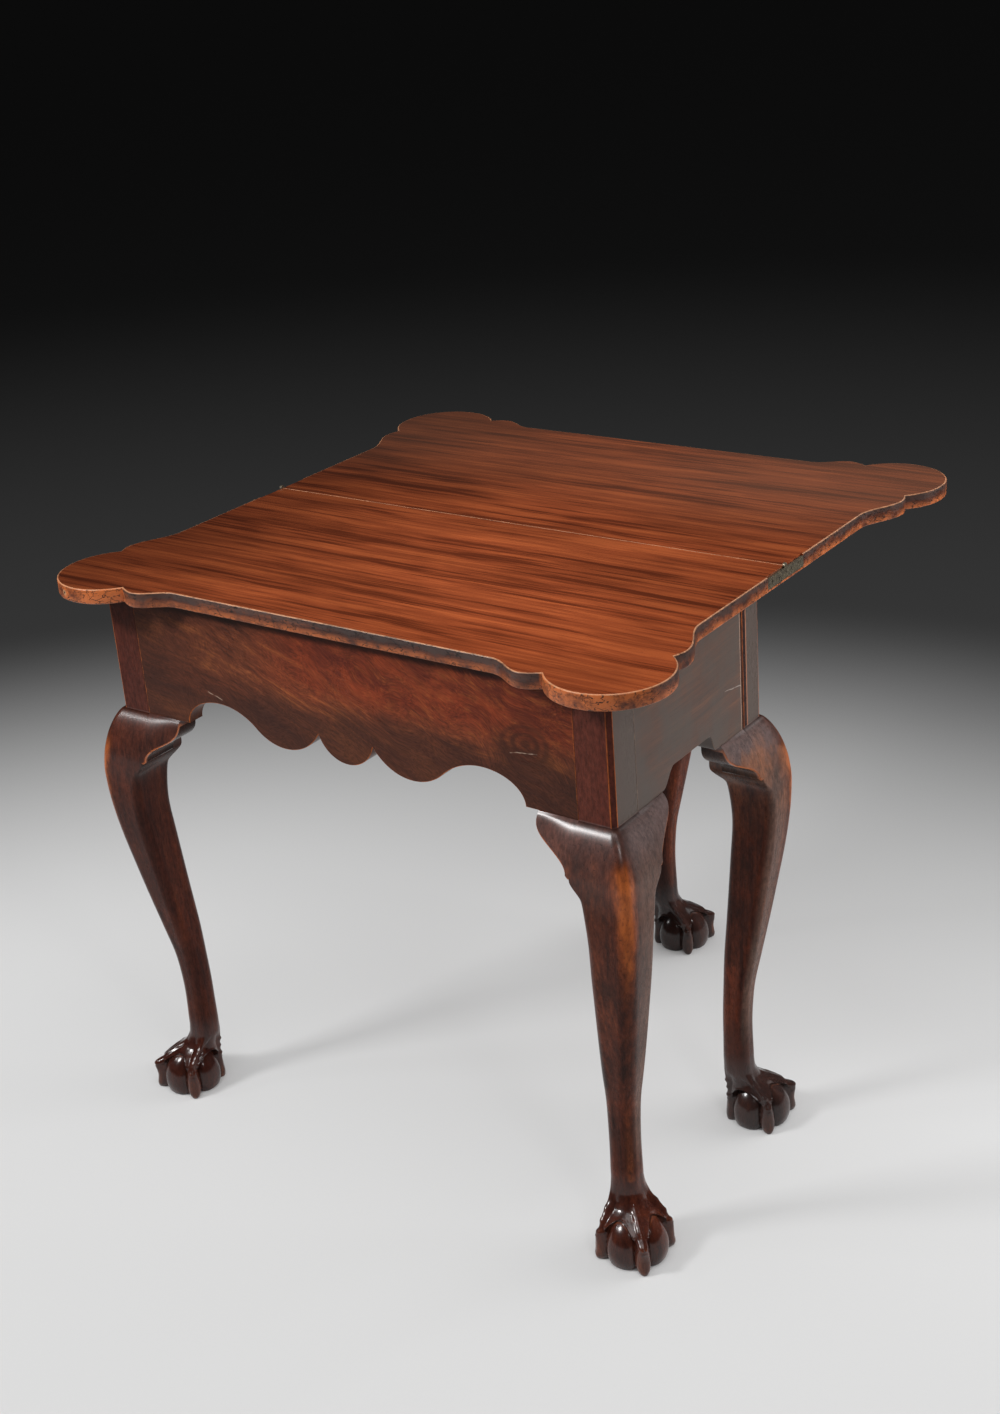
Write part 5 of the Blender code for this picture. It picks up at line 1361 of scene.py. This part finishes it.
def leg_surface(sizes, rear):
    """Positions in the leg's own frame, wear, grime with painted shade, and bloom with painted sheen, as
    arrays of levels by turns.
    """
    turns = np.arange(LEG_SIDES) * 2 * math.pi / LEG_SIDES
    corner, angle = nearest_corner(turns)
    length = RAIL_BOTTOM - sizes.foot_height
    cants = np.array([STILE_CANT, KNEE_ARRIS, KNEE_ARRIS, REAR_CANT if rear else KNEE_ARRIS])
    stile_reach = cant_reach(angle, STILE / 2, cants[corner])
    stile_heights = np.array([RAIL_TOP, RAIL_TOP - 0.02, RAIL_BOTTOM + 0.02, RAIL_BOTTOM + 0.0004,
                              RAIL_BOTTOM])
    knee = sizes.bracket_drop + sizes.throat_drop
    knee_drops = FIRST_DROP + (knee - FIRST_DROP) * np.linspace(0.0, 1.0, KNEE_LEVELS) ** 1.5
    drops = np.concatenate([knee_drops, np.linspace(knee, length, SHAFT_LEVELS)[1:-1]])
    out, thick, ridge, arris = leg_stations(sizes, drops)
    heights = np.concatenate([np.linspace(sizes.foot_height, FOOT_BLEND, ANKLE_LEVELS),
                              np.linspace(FOOT_BLEND, ARCH_FOOT, TALON_LEVELS)[1:],
                              np.linspace(ARCH_FOOT, LAST_HEIGHT, SOLE_LEVELS)[1:], [0.0]])

    grid_angle = angle[None, :]
    round_off = np.where(corner[None, :] == 0, ridge[:, None], arris[:, None])
    half = thick[:, None] / 2
    leg_reach = square_reach(grid_angle, half, np.minimum(round_off, half))
    leg_middle = out - thick / 2

    shift, foot_reach, foot_wear, foot_grime_and_shade = foot_field(sizes, turns, heights)
    last = leg_reach[-1]
    share = ease((heights - FOOT_BLEND) / (sizes.foot_height - FOOT_BLEND))[:, None]
    foot_reach = foot_reach + (last[None, :] - foot_reach[:1]) * share
    foot_middle = -sizes.foot_set_in + shift[:, 0] / math.sqrt(2)
    tuck = SOLE_TUCK * ease((SOLE_EASE - heights) / SOLE_EASE)
    foot_reach = foot_reach - tuck[:, None]

    reach = np.vstack([np.tile(stile_reach, (len(stile_heights), 1)), leg_reach, foot_reach])
    middle = np.concatenate([np.full(len(stile_heights), -STILE / 2), leg_middle, foot_middle])
    level = np.concatenate([stile_heights, RAIL_BOTTOM - drops, heights])
    way = turns + math.pi / 4
    points = np.stack([middle[:, None] + reach * np.cos(way), middle[:, None] + reach * np.sin(way),
                       np.broadcast_to(level[:, None], reach.shape)], axis=-1)

    stile_wear = cant_wear(corner == 0, angle, STILE_CANT)
    if rear:
        stile_wear = np.maximum(stile_wear, cant_wear(corner == 3, angle, REAR_CANT))
    stile_wear = np.tile(stile_wear * 0.85, (len(stile_heights), 1))
    rubbed = 0.14 + 0.58 * ease((drops - 0.022) / 0.03) * ease((0.22 - drops) / 0.13)
    rubbed = rubbed + 0.28 * ease((drops - length + 0.12) / 0.08)
    ridge_wear = np.where(corner[None, :] == 0, np.exp(-(grid_angle / 0.30) ** 2), 0.0) * rubbed[:, None]
    wear = np.vstack([stile_wear, ridge_wear, foot_wear])
    # Grime and painted shade in the crease under the stile, and painted shade under the brackets on the inner
    # faces
    below_stile = 0.7 * np.exp(-(drops / 0.0018) ** 2)
    under_ears = 0.62 * np.exp(-((drops - sizes.bracket_drop - 0.006) / 0.012) ** 2)
    inner_side = ease((np.abs(turns - math.pi) - 1.65) / -0.15)
    leg_grime_and_shade = below_stile[:, None] + under_ears[:, None] * inner_side[None, :]
    grime = np.vstack([np.zeros((len(stile_heights), LEG_SIDES)), leg_grime_and_shade, foot_grime_and_shade])
    # Bloom with a painted sheen: full on the outer side faces, little on the front, none on the feet
    from_ridge = (turns + math.pi) % (2 * math.pi) - math.pi
    outer_face = ease((np.abs(from_ridge) - 0.08) / 0.85) * ease((1.75 - np.abs(from_ridge)) / 0.25)
    bloom = outer_face * np.where(from_ridge < 0, 1.0, 0.08) * ease((level[:, None] - 0.09) / 0.06)
    return points, wear, grime, bloom


def set_in_place(points, corner, sign_x, sign_y):
    """Carries points from a leg's own frame, whose axes point outwards, to its corner of the table."""
    return points * np.array([sign_x, sign_y, 1.0]) + np.array([corner[0], corner[1], 0.0])


def leg_shape(sizes, corner, sign_x, sign_y):
    """A leg at its corner, with its wear, grime with painted shade, and bloom with painted sheen."""
    points, wear, grime, bloom = leg_surface(sizes, rear=sign_y > 0)
    points = set_in_place(points, corner, sign_x, sign_y)
    shape, turn, level = tube(LEG_SIDES, len(points), lambda turn, level: points[level, turn])
    mark(shape, wear=wear[level, turn], grime=grime[level, turn], bloom=bloom[level, turn])
    return shape


# Legs: name, outer corner of the stile, which ways its outer faces look, body
LEGS = (
    ("front_left", (-HALF_FRAME, FRAME_FRONT), -1, -1, "frame"),
    ("front_right", (HALF_FRAME, FRAME_FRONT), 1, -1, "frame"),
    ("rear_right", (HALF_FRAME, FRAME_BACK), 1, 1, "frame"),
    ("swing", (-HALF_FRAME, FRAME_BACK), -1, 1, "gate"),
)
FOOT_COAT_ROUGHNESS = 0.17


def leg_material(finish, name="carved_leg", coat_roughness=0.31):
    """The legs' and brackets' wood, made the first time that it is asked for."""
    if name in bpy.data.materials:
        return bpy.data.materials[name]
    return wood_material(name, three_tones(finish, "leg"), turn=(0.0, RIGHT_ANGLE, 0.0), band=0.013,
                         waviness=0.012, figure=0.15, gloss=0.27, coat=leg_gloss,
                         coat_roughness=coat_roughness, specular=0.10, worn=finish.leg_worn, bump=0.20,
                         tint=leg_mottle)


class TEATABLE_OT_legs(bpy.types.Operator):
    """Builds the four cabriole legs with their claw-and-ball feet"""
    bl_idname = "teatable.legs"
    bl_label = "Cabriole legs"

    def execute(self, context):
        sizes, finish = context.scene.teatable_legs, context.scene.teatable_finish
        materials = (leg_material(finish), leg_material(finish, "carved_foot", FOOT_COAT_ROUGHNESS))
        for word, corner, sign_x, sign_y, body in LEGS:
            node = f"{word}_leg"
            shape = leg_shape(sizes, corner, sign_x, sign_y)
            for face in shape.faces:
                face.material_index = int(face.calc_center_median().z < GLOSS_START)
            if body == "gate":
                swing_open(shape)
            add_piece(f"{node}_carved", shape, materials, body, "leg_wood", node, sharp=40.0)
        return {"FINISHED"}


BRACKET_SIDES = 96
BRACKET_LEVELS = 60
BRACKET_ARRIS = 0.0016
BRACKET_WEAR_SPREAD = 0.0020
# Painted shade at a bracket's back and under its lower edge
BRACKET_PAINTED_SHADE, BRACKET_EDGE_PAINTED_SHADE = 0.85, 0.55 # at a bracket's back, and at the front of its lower edge


def bracket_edge(sizes):
    """Lower edge of a knee bracket as (distance from the leg, drop), from the leg out to the tip."""
    lip, lip_rise = 0.005, 0.003
    controls = np.array(((lip, sizes.bracket_drop - lip_rise), (lip, sizes.bracket_shoulder),
                         (sizes.bracket_length, sizes.bracket_shoulder),
                         (sizes.bracket_length, sizes.bracket_tip)))
    foot = sizes.bracket_drop - FIT
    turn_steps = 8
    lip_turn = [(lip - lip_rise * math.cos(a), foot - lip_rise * (1 - math.sin(math.pi / 2 - a)) * 0.9)
                for a in np.linspace(0, math.pi / 2, turn_steps)]
    edge = [(FIT / 6, foot)] + lip_turn[:-1]
    for t in np.linspace(0.0, 1.0, BRACKET_LEVELS - len(edge)):
        weights = np.array(((1 - t) ** 3, 3 * t * (1 - t) ** 2, 3 * t * t * (1 - t), t ** 3))
        edge.append(tuple(weights @ controls))
    return np.array(edge)


def bracket_surface(sizes):
    """Sections of a knee bracket from the leg out to its tip, in the leg's own frame, with wear and painted
    shade.
    """
    rows, wear_rows, grime_and_shade_rows = [], [], []
    top = RAIL_BOTTOM - FIT
    quarter = BRACKET_SIDES // 4
    for run, drop in bracket_edge(sizes):
        fade = 1 - (1 - sizes.tip_share) * (1 - math.cos(math.pi * run / sizes.bracket_length)) / 2
        down = np.linspace(0.0, 1.0, quarter, endpoint=False)
        back = np.stack([np.full(quarter, -sizes.bracket_depth), down * drop], axis=-1)
        face = 1 - (1 - np.linspace(0.0, 1.0, 2 * quarter, endpoint=False)) ** 1.3
        from_edge = face * drop
        out = knee_swell(sizes, drop - from_edge) * fade
        radius = min(BRACKET_ARRIS, drop * 0.3)
        rounding = radius * (1 - np.sqrt(np.clip(1 - np.clip(1 - from_edge / radius, 0, 1) ** 2, 0, 1)))
        front = np.stack([out - rounding, drop - from_edge], axis=-1)
        under = np.array([-sizes.bracket_depth, drop])
        bottom = under + (front[0] - under) * np.linspace(0.0, 1.0, quarter // 2, endpoint=False)[:, None]
        backwards = np.linspace(0.0, 1.0, BRACKET_SIDES - 3 * quarter - quarter // 2, endpoint=False)
        upper = np.array([-sizes.bracket_depth, 0.0]) * backwards[:, None]
        section = np.vstack([back, bottom, front, upper])
        worn = np.zeros(len(section))
        start = len(back) + len(bottom)
        worn[start:start + len(front)] = np.exp(-(from_edge / BRACKET_WEAR_SPREAD) ** 2)
        # Painted shade at the bracket's back and underside
        dirt_and_shade = np.zeros(len(section))
        dirt_and_shade[:start] = BRACKET_PAINTED_SHADE
        dirt_and_shade[len(back):start] = np.linspace(BRACKET_PAINTED_SHADE, BRACKET_EDGE_PAINTED_SHADE, len(bottom))
        across = np.full(len(section), -STILE - run)
        rows.append(np.stack([across, section[:, 0], top - section[:, 1]], axis=-1))
        wear_rows.append(worn)
        grime_and_shade_rows.append(dirt_and_shade)
    return np.array(rows), np.array(wear_rows), np.array(grime_and_shade_rows)


def bracket_shape(sizes, corner, sign_x, sign_y, along_x):
    """A knee bracket beside a leg, along the front or along the side."""
    points, wear, grime = bracket_surface(sizes)
    if not along_x:
        points = points[..., [1, 0, 2]]
    points = set_in_place(points, corner, sign_x, sign_y)
    shape, turn, level = tube(BRACKET_SIDES, len(points), lambda turn, level: points[level, turn])
    # Bloom with a painted sheen: little on a front bracket, full on a side bracket
    bloom = np.full(len(shape.verts), 0.15 if along_x else 1.0)
    mark(shape, wear=wear[level, turn], grime=grime[level, turn], bloom=bloom)
    return shape


class TEATABLE_OT_knee_brackets(bpy.types.Operator):
    """Builds the knee brackets beside the legs"""
    bl_idname = "teatable.knee_brackets"
    bl_label = "Knee brackets"

    def execute(self, context):
        sizes = context.scene.teatable_legs
        material = leg_material(context.scene.teatable_finish)
        for word, corner, sign_x, sign_y, body in LEGS:
            kinds = (("front_", True), ("side_", False)) if sign_y < 0 else (("", False),)
            for kind, along_x in kinds:
                shape = bracket_shape(sizes, corner, sign_x, sign_y, along_x)
                if body == "gate":
                    swing_open(shape)
                node = f"{word}_{kind}knee_bracket"
                add_piece(f"{node}_carved", shape, (material,), body, "leg_wood", node, sharp=40.0)
        return {"FINISHED"}


# Back of the frame


KNUCKLE_COUNT = 5
KNUCKLE_STEPS = 12
FULL_ROUND = 0.999                           # share of its radius to which a knuckle is rounded


def knuckle_rail(side, own_knuckles, low, high):
    """Half of the outer back rail: its body, and every other round knuckle about the pivot."""
    radius = (high.y - low.y) / 2
    relief = 0.002
    shoulder = GATE_PIVOT.x + side * (radius + relief)
    end = side * (STILE_INNER_X - FIT)
    shape = block((min(shoulder, end), low.y, low.z), (max(shoulder, end), high.y, high.z))
    pitch = (high.z - low.z) / KNUCKLE_COUNT
    for number in range(1, KNUCKLE_COUNT):
        for gap in (-FIT / 2, FIT / 2):
            slice_through(shape, (0, 0, low.z + pitch * number + gap), (0, 0, 1))
    fingers = []
    for face in list(shape.faces):
        middle = face.calc_center_median()
        number = int((middle.z - low.z) / pitch)
        tall = max(vert.co.z for vert in face.verts) - min(vert.co.z for vert in face.verts) > pitch / 2
        if abs(middle.x - shoulder) < FIT and tall and number in own_knuckles:
            fingers.append(face)
    for face in fingers:
        verts = push(shape, [face], (-side * (2 * radius + relief), 0, 0))
        upright = [edge for edge in shape.edges if edge.verts[0] in verts and edge.verts[1] in verts
                   and abs(edge.verts[0].co.z - edge.verts[1].co.z) > pitch / 2]
        bmesh.ops.delete(shape, geom=[face], context="FACES_ONLY")
        round_edges(shape, upright, radius * FULL_ROUND, KNUCKLE_STEPS)
    bmesh.ops.dissolve_limit(shape, angle_limit=math.radians(1), verts=shape.verts, edges=shape.edges)
    face_outwards(shape)
    return shape


class TEATABLE_OT_back(bpy.types.Operator):
    """Builds the two halves of the outer back rail and dresses the hidden rail behind them"""
    bl_idname = "teatable.back"
    bl_label = "Back rails and gate"

    def execute(self, context):
        finish = context.scene.teatable_finish
        look = {"band": 0.016, "waviness": 0.02, "gloss": 0.36, "coat": 0.1}
        colours = three_tones(finish, "rail")
        fixed_wood = wood_material("back_rail_wood", colours, **look)
        gate_wood = wood_material("gate_rail_wood", colours, turn=(0.0, 0.0, GATE_OPENING), **look)
        low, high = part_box("fixed_back_rail")
        fixed = knuckle_rail(1, range(0, KNUCKLE_COUNT, 2), low, high)
        add_piece("fixed_back_rail_planed", fixed, (fixed_wood,), "frame", "frame_wood", "fixed_back_rail")
        gate = knuckle_rail(-1, range(1, KNUCKLE_COUNT, 2), low, high)
        swing_open(gate)
        add_piece("gate_rail_planed", gate, (gate_wood,), "gate", "frame_wood", "gate_rail")
        dress_node("inner_back_rail", dry_wood_material("inner_rail_wood", three_tones(finish, "dry")))
        return {"FINISHED"}


BLOCK_CHAMFER = 0.006
BLOCK_ARRIS = 0.0006


class TEATABLE_OT_glue_blocks(bpy.types.Operator):
    """Builds the glue blocks inside the frame, with their free edge planed off"""
    bl_idname = "teatable.glue_blocks"
    bl_label = "Glue blocks"

    def execute(self, context):
        colours = three_tones(context.scene.teatable_finish, "dry")
        along_x = dry_wood_material("glue_block_wood", colours)
        along_y = dry_wood_material("side_block_wood", colours, turn=(0.0, 0.0, RIGHT_ANGLE))
        inside = (TOP_LOW + TOP_HIGH) / 2
        for word in ("left", "right"):
            for kind in ("front", "back", "side"):
                node = f"{word}_{kind}_glue_block"
                low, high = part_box(node)
                shape = block(low, high)
                across = 0 if kind == "side" else 1
                centre = (low + high) / 2
                inner = high[across] if inside[across] > centre[across] else low[across]
                free = [edge for edge in shape.edges
                        if all(abs(vert.co[across] - inner) < FIT and abs(vert.co.z - low.z) < FIT
                               for vert in edge.verts)]
                round_edges(shape, free, BLOCK_CHAMFER, 1)
                sharp = [edge for edge in shape.edges if edge.is_manifold and edge.calc_face_angle(0.0) > 0.3]
                round_edges(shape, sharp, BLOCK_ARRIS, 2)
                material = along_y if kind == "side" else along_x
                add_piece(f"{node}_cut", shape, (material,), "frame", "secondary_wood", node)
        return {"FINISHED"}


# Metal


# Screws: radius of the shank, width and depth of the slot
HINGE_SCREW = (0.0013, 0.0009, 0.0008)
BACK_SCREW = (0.0022, 0.0013, 0.0011)
SLOT_FLOOR = 0.8                             # length of a slot's floor as a share of its mouth
SCREW_STEPS = 32
HINGE_TWIST, BACK_TWIST = 0.7, 0.9           # turn of a slot from one screw to the next, in radians


def slotted_screw(head, length, shank, slot_width, slot_depth):
    """A countersunk screw with its head facing +Z at the origin and a slot across it."""
    bore = head - shank
    profile = ((0.0, -0.0001), (head * 0.6, 0.0), (head * 0.97, -0.0001), (head, -0.0004), (shank, -bore),
               (shank, -length + shank), (0.0, -length))
    shape = turned_shape(profile, SCREW_STEPS)
    for side in (-1, 1):
        slice_through(shape, (0, side * slot_width / 2, 0), (0, 1, 0))
    mouth = [face for face in shape.faces
             if face.normal.z > 0.5 and abs(face.calc_center_median().y) < slot_width / 2]
    for vert in push(shape, mouth, (0, 0, -slot_depth)):
        vert.co.x *= SLOT_FLOOR
    bmesh.ops.delete(shape, geom=mouth, context="FACES")
    face_outwards(shape)
    return shape


def place_screw(shape, head, outward, twist):
    """Turns a screw to face outwards, with its slot twisted, and moves its head to its place."""
    turn = outward.to_track_quat("Z", "Y").to_matrix() @ Matrix.Rotation(twist, 3, "Z")
    bmesh.ops.rotate(shape, cent=(0, 0, 0), matrix=turn, verts=shape.verts)
    bmesh.ops.translate(shape, vec=head, verts=shape.verts)


class TEATABLE_OT_metalwork(bpy.types.Operator):
    """Dresses the hinges and the gate pin, and builds the slotted screws"""
    bl_idname = "teatable.metalwork"
    bl_label = "Hinges, pin and screws"

    def execute(self, context):
        brass = metal_material("tarnished_brass", *BRASS_TONES)
        iron = metal_material("dark_iron", *IRON_TONES)
        turns = 0
        for side, sign in (("left", -1), ("right", 1)):
            dress_node(f"{side}_hinge_pin", brass)
            for half, body in (("fixed", "frame"), ("leaf", "leaf")):
                dress_node(f"{side}_hinge_{half}_plate", brass)
                for number in (1, 2):
                    node = f"{side}_hinge_{half}_screw_{number}"
                    low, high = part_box(node)
                    shape = slotted_screw((high.z - low.z) / 2, high.x - low.x, *HINGE_SCREW)
                    turns += 1
                    head = Vector((high.x if sign > 0 else low.x, *((low + high) / 2)[1:]))
                    place_screw(shape, head, Vector((sign, 0, 0)), HINGE_TWIST * turns)
                    add_piece(f"{node}_slotted", shape, (brass,), body, "hinge_metal", node)
        for number in (1, 2, 3):
            node = f"back_rail_screw_{number}"
            low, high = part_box(node)
            shape = slotted_screw((high.z - low.z) / 2, high.y - low.y, *BACK_SCREW)
            middle = (low + high) / 2
            place_screw(shape, Vector((middle.x, high.y, middle.z)), Vector((0, 1, 0)), BACK_TWIST * number)
            add_piece(f"{node}_slotted", shape, (iron,), "frame", "iron", node)
        dress_node("gate_pin", iron)
        return {"FINISHED"}


# Stage


# Softboxes: place, what they point at, size, whether they show in reflections
TABLE_MIDDLE = (0.0, -0.05, 0.45)
SOFTBOXES = {
    "key": ((-1.6, -2.3, 2.7), TABLE_MIDDLE, 0.6, True),
    "top": ((0.35, -0.6, 2.7), (0.0, -0.05, 0.7), 1.5, True),
    "side": ((1.55, 1.05, 0.75), (0.3, -0.15, 0.45), 1.3, False),
    "rear": ((0.6, 2.6, 2.4), TABLE_MIDDLE, 1.4, True),
    "ridge": ((2.05, -1.4, 2.1), (0.35, -0.35, 0.55), 0.3, True),
    "knee": ((-2.43, -1.84, 2.11), (-0.34, -0.37, 0.53), 0.3, True),
}
FLOOR_RADIUS = 30.0
FLOOR_MIDDLE = (-0.2, 1.1, 0.0)              # shift that brings the brightest part of the floor to the middle
WORLD_TONE = (0.012, 0.012, 0.012, 1.0)
SENSOR_WIDTH = 36.0


def add_softbox(name, place, aim, size, mirrored, power):
    """A square area light that the camera doesn't see."""
    lamp = bpy.data.lights.new(name, "AREA")
    lamp.shape = "SQUARE"
    lamp.size = size
    lamp.energy = power
    holder = bpy.data.objects.new(name, lamp)
    holder.location = place
    holder.rotation_euler = (Vector(aim) - Vector(place)).to_track_quat("-Z", "Y").to_euler()
    holder.visible_camera = False
    holder.visible_glossy = mirrored
    bpy.context.scene.collection.objects.link(holder)


def floor_material(settings):
    """A pale floor with a painted pool of light that falls off to a dark grey far off, and shows partly by
    its own even light.
    """
    material, tree = new_material("floor")
    vector = surface(tree, shift=FLOOR_MIDDLE)
    far = vector_calc(tree, "LENGTH", vector)
    # Painted pool of light: bright near the table, dark grey far off
    tone = times(tree, spread(tree, far, 1.25, 2.75, settings.floor_tone, settings.far_tone),
                 spread(tree, far, 2.4, 6.5, 1.0, 0.12))
    path = add_node(tree, "ShaderNodeLightPath").outputs
    seen = total(tree, *((path[f"Is {kind} Ray"], 1.0) for kind in ("Camera", "Glossy", "Transmission")))
    open_sky = add_node(tree, "ShaderNodeAmbientOcclusion", {"Distance": 0.07}, samples=8).outputs["AO"]
    glow = calc(tree, "MULTIPLY", times(tree, seen, open_sky), settings.floor_glow, clamp=True)
    lit = times(tree, tone, calc(tree, "SUBTRACT", 1.0, glow))
    grainy = noise(tree, vector, 260.0)
    end_material(tree, {
        "Base Color": lit, "Roughness": spread(tree, grainy, 0.0, 1.0, 0.75, 0.9),
        "Normal": bumped(tree, grainy, 0.05, 0.001), "Emission Color": times(tree, tone, glow),
        "Emission Strength": 1.0})
    return material


class TEATABLE_OT_stage(bpy.types.Operator):
    """Sets the floor, the lights and the camera"""
    bl_idname = "teatable.stage"
    bl_label = "Stage"

    def execute(self, context):
        scene, settings = context.scene, context.scene.teatable_stage
        shape = bmesh.new()
        bmesh.ops.create_circle(shape, cap_ends=True, segments=96, radius=FLOOR_RADIUS)
        floor = new_object("floor", shape)
        floor.data.materials.append(floor_material(settings))
        for name, placing in SOFTBOXES.items():
            add_softbox(f"{name}_light", *placing, getattr(settings, f"{name}_power"))
        world = bpy.data.worlds.new("studio")
        world.use_nodes = True
        background = world.node_tree.nodes["Background"]
        background.inputs["Color"].default_value = WORLD_TONE
        background.inputs["Strength"].default_value = 1.0
        scene.world = world
        camera = bpy.data.cameras.new("camera")
        camera.lens = settings.lens
        camera.sensor_width = SENSOR_WIDTH
        camera.sensor_fit = "AUTO"
        camera.shift_x, camera.shift_y = settings.shift
        holder = bpy.data.objects.new("camera", camera)
        holder.location = settings.eye
        holder.rotation_euler = Euler(settings.turn)
        scene.collection.objects.link(holder)
        scene.camera = holder
        scene.view_settings.view_transform = "Standard"
        return {"FINISHED"}


class TEATABLE_PT_panel(bpy.types.Panel):
    """Lists the pieces of the tea table"""
    bl_idname = "TEATABLE_PT_panel"
    bl_label = "Tea Table"
    bl_space_type = "VIEW_3D"
    bl_region_type = "UI"
    bl_category = "Tea Table"

    def draw(self, context):
        for operator in OPERATORS:
            self.layout.operator(operator.bl_idname)
        for name in SETTINGS:
            settings = getattr(context.scene, name)
            box = self.layout.box()
            for key in settings.bl_rna.properties.keys():
                if key not in ("rna_type", "name"):
                    box.prop(settings, key)


OPERATORS = (TEATABLE_OT_top, TEATABLE_OT_apron, TEATABLE_OT_side_rails, TEATABLE_OT_legs,
             TEATABLE_OT_knee_brackets, TEATABLE_OT_back, TEATABLE_OT_glue_blocks, TEATABLE_OT_metalwork,
             TEATABLE_OT_stage)
SETTINGS = {"teatable_top": TopSettings, "teatable_apron": ApronSettings, "teatable_legs": LegSettings,
            "teatable_finish": FinishSettings, "teatable_stage": StageSettings}


def register():
    for name, settings in SETTINGS.items():
        bpy.utils.register_class(settings)
        setattr(bpy.types.Scene, name, PointerProperty(type=settings))
    for item in (*OPERATORS, TEATABLE_PT_panel):
        bpy.utils.register_class(item)


def unregister():
    for item in (TEATABLE_PT_panel, *reversed(OPERATORS)):
        bpy.utils.unregister_class(item)
    for name, settings in reversed(SETTINGS.items()):
        delattr(bpy.types.Scene, name)
        bpy.utils.unregister_class(settings)


def main():
    register()
    bpy.ops.teatable.top()
    bpy.ops.teatable.apron()
    bpy.ops.teatable.side_rails()
    bpy.ops.teatable.legs()
    bpy.ops.teatable.knee_brackets()
    bpy.ops.teatable.back()
    bpy.ops.teatable.glue_blocks()
    bpy.ops.teatable.metalwork()
    bpy.ops.teatable.stage()


if __name__ == "__main__":
    main()
